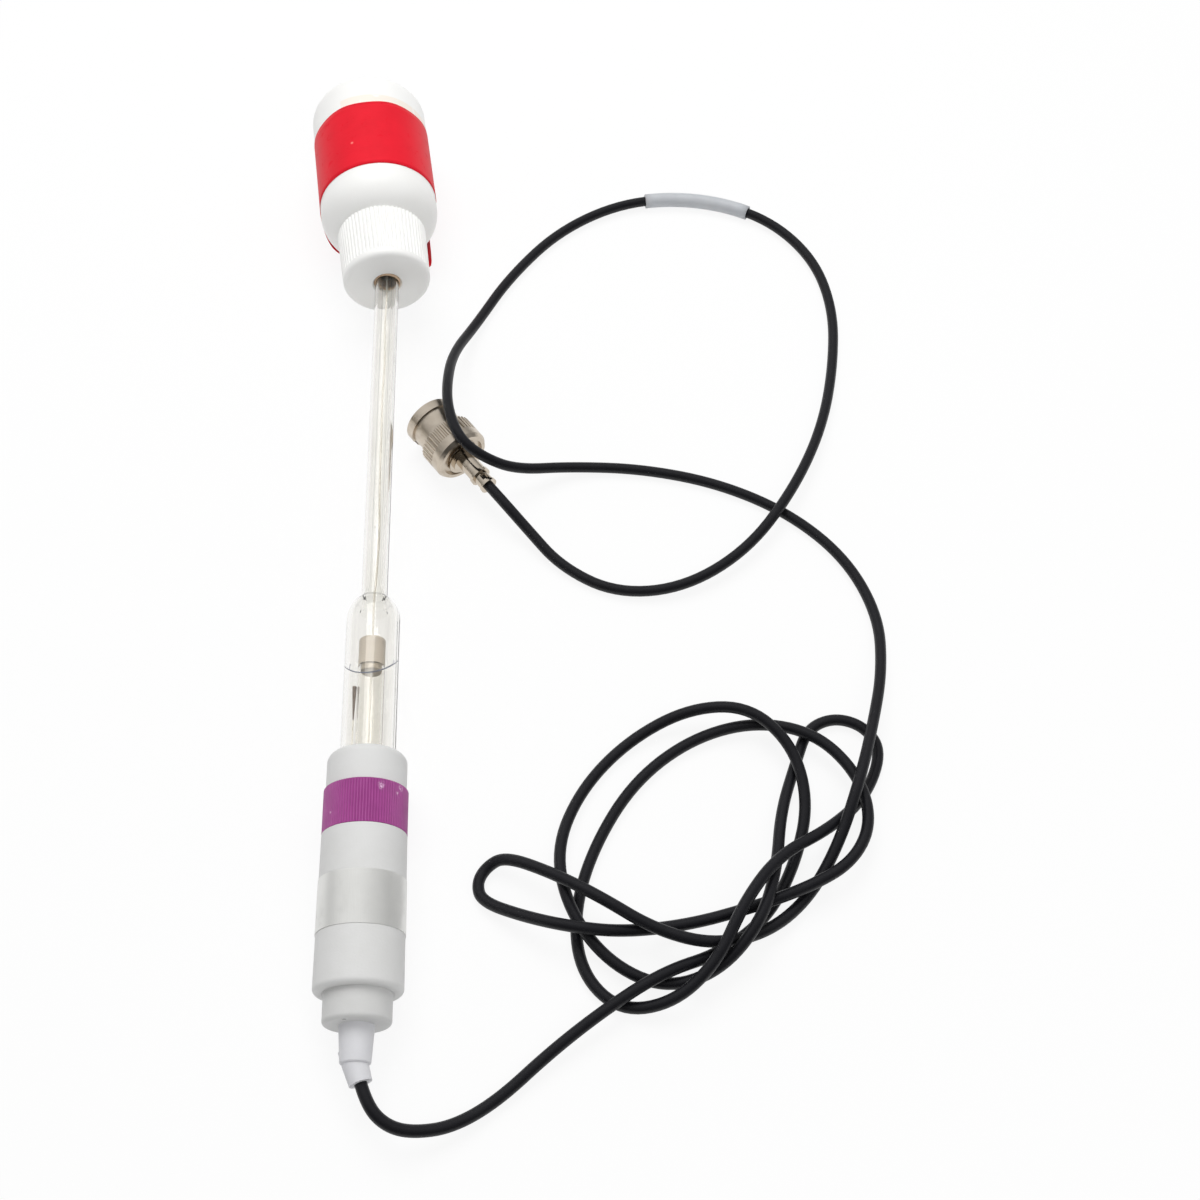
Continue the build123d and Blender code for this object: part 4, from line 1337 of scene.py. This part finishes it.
@dataclass
class Studio:
    """The pale floor, the soft lamps, the sky and the camera.

    Attributes:
        aim: What the lamps point at, in metres.
        lamps: The lamps.
        sky: The sky's strength as a light.
        sky_fades: How metal and glass see the sky: along an axis, from one heading to another, from one
            brightness to another.
        floor_size: The length of the floor's side.
        floor_gap: How far it lies below the object, in millimetres.
        floor_color: Its colour as a matt surface.
        floor_glow: The share of plain white in the floor as it is seen.
        floor_near: How far from the object the floor starts to dim in metal and glass.
        floor_far: How far from it the floor is dim.
        floor_dim: How bright it is there.
        camera_place: Where the camera stands.
        camera_turn: How it is turned, in degrees.
        camera_lens: Its focal length, in millimetres.
        camera_sensor: The width of its sensor.
        camera_reach: The nearest and furthest that it sees, in metres.
    """

    aim: Point = (0.0508, -0.0004, 0.0)
    lamps: tuple[Lamp, ...] = (
        Lamp("key_lamp", (-0.03, 0.42, 0.8), 0.6, 5.2),
        Lamp("fill_lamp", (0.35, -0.4, 0.8), 0.7, 2.1),
    )
    sky: float = 0.36
    sky_fades: tuple[tuple[str, float, float, float, float], ...] = (
        ("Z", 0.0, 0.7, 0.4, 1.0), ("Y", -0.7, 0.6, 0.12, 1.0), ("X", -0.9, 0.9, 1.0, 0.6))
    floor_size: float = 6.0
    floor_gap: float = 0.1
    floor_color: Color = srgb(247, 247, 247)
    floor_glow: float = 0.88
    floor_near: float = 0.3
    floor_far: float = 0.7
    floor_dim: float = 0.3
    camera_place: Point = (0.05443, -0.23908, 0.3651)
    camera_turn: Point = (31.12, 0.0, -1.73)
    camera_lens: float = 50.1
    camera_sensor: float = 36.0
    camera_reach: tuple[float, float] = (0.01, 20.0)

    def make(self) -> None:
        """Builds the studio."""
        self.make_floor()
        self.make_sky()
        for lamp in self.lamps:
            self.make_lamp(lamp)
        self.make_camera()
        bpy.context.scene.view_settings.view_transform = "Standard"

    def make_floor(self) -> None:
        """Lays the floor, which keeps the object's shadow."""
        half = self.floor_size / 2
        mesh = bpy.data.meshes.new("floor")
        mesh.from_pydata([(-half, -half, 0), (half, -half, 0), (half, half, 0), (-half, half, 0)], [],
                         [(0, 1, 2, 3)])
        floor = add_object("floor", mesh)
        floor.location.z = -self.floor_gap * MM
        material = bpy.data.materials.new("pale_floor")
        graph = Graph.fresh(material)
        matt = graph.add("ShaderNodeBsdfDiffuse", {"Color": self.floor_color}).outputs[0]
        rays = graph.add("ShaderNodeLightPath").outputs
        place = graph.add("ShaderNodeNewGeometry").outputs["Position"]
        away = graph.vector("DISTANCE", place, self.aim)
        faded = graph.spread(away, self.floor_near, self.floor_far, 1.0, self.floor_dim)
        level = graph.mix(rays["Is Camera Ray"], faded, 1.0)
        white = graph.add("ShaderNodeEmission", {"Strength": level}).outputs[0]
        seen = graph.math("ADD", rays["Is Camera Ray"], rays["Is Glossy Ray"])
        seen = graph.math("ADD", seen, rays["Is Transmission Ray"])
        share = graph.math("MULTIPLY", seen, self.floor_glow)
        mixed = graph.add("ShaderNodeMixShader", {0: share, 1: matt, 2: white}).outputs[0]
        graph.add("ShaderNodeOutputMaterial", {"Surface": mixed})
        mesh.materials.append(material)

    def make_sky(self) -> None:
        """Lights the scene from all round, with a sky that metal sees darker towards its edge."""
        world = bpy.data.worlds.new("studio_sky")
        bpy.context.scene.world = world
        graph = Graph.fresh(world)
        rays = graph.add("ShaderNodeLightPath").outputs
        ways = graph.add("ShaderNodeTexCoord").outputs["Generated"]
        heading = graph.add("ShaderNodeSeparateXYZ", {0: ways}).outputs
        mirrored: Any = 1.0
        for axis, low, high, at_low, at_high in self.sky_fades:
            fade = graph.spread(heading[axis], low, high, at_low, at_high)
            mirrored = graph.math("MULTIPLY", mirrored, fade)
        bent = graph.math("ADD", rays["Is Glossy Ray"], rays["Is Transmission Ray"])
        strength = graph.mix(rays["Is Camera Ray"], graph.mix(bent, self.sky, mirrored), 1.0)
        sky = graph.add("ShaderNodeBackground", {
            "Color": srgb(255, 255, 255), "Strength": strength}).outputs[0]
        graph.add("ShaderNodeOutputWorld", {"Surface": sky})

    def make_lamp(self, lamp: Lamp) -> None:
        """Hangs a lamp that points at the object."""
        light = bpy.data.lights.new(lamp.name, "AREA")
        light.shape = "SQUARE"
        light.size = lamp.size
        light.energy = lamp.power
        stand = add_object(lamp.name, light)
        stand.visible_glossy = False
        stand.location = lamp.place
        stand.rotation_euler = (Vector(self.aim) - Vector(lamp.place)).to_track_quat("-Z", "Y").to_euler()

    def make_camera(self) -> None:
        """Sets the camera where the photograph was taken from."""
        view = bpy.data.cameras.new("camera")
        view.sensor_width = self.camera_sensor
        view.lens = self.camera_lens
        view.clip_start, view.clip_end = self.camera_reach
        camera = add_object("camera", view)
        camera.location = self.camera_place
        camera.rotation_euler = [radians(angle) for angle in self.camera_turn]
        bpy.context.scene.camera = camera


def main() -> None:
    """Builds the studio and every sub-assembly in order."""
    logging.basicConfig(level=logging.INFO, format="%(name)s: %(message)s")
    Studio().make()
    EffectMaker().make()
    palette = Palette()
    for assembly in (Lead, Head, GlassStem, StorageBottle, BayonetPlug):
        assembly(palette).make()


if __name__ == "__main__":
    main()
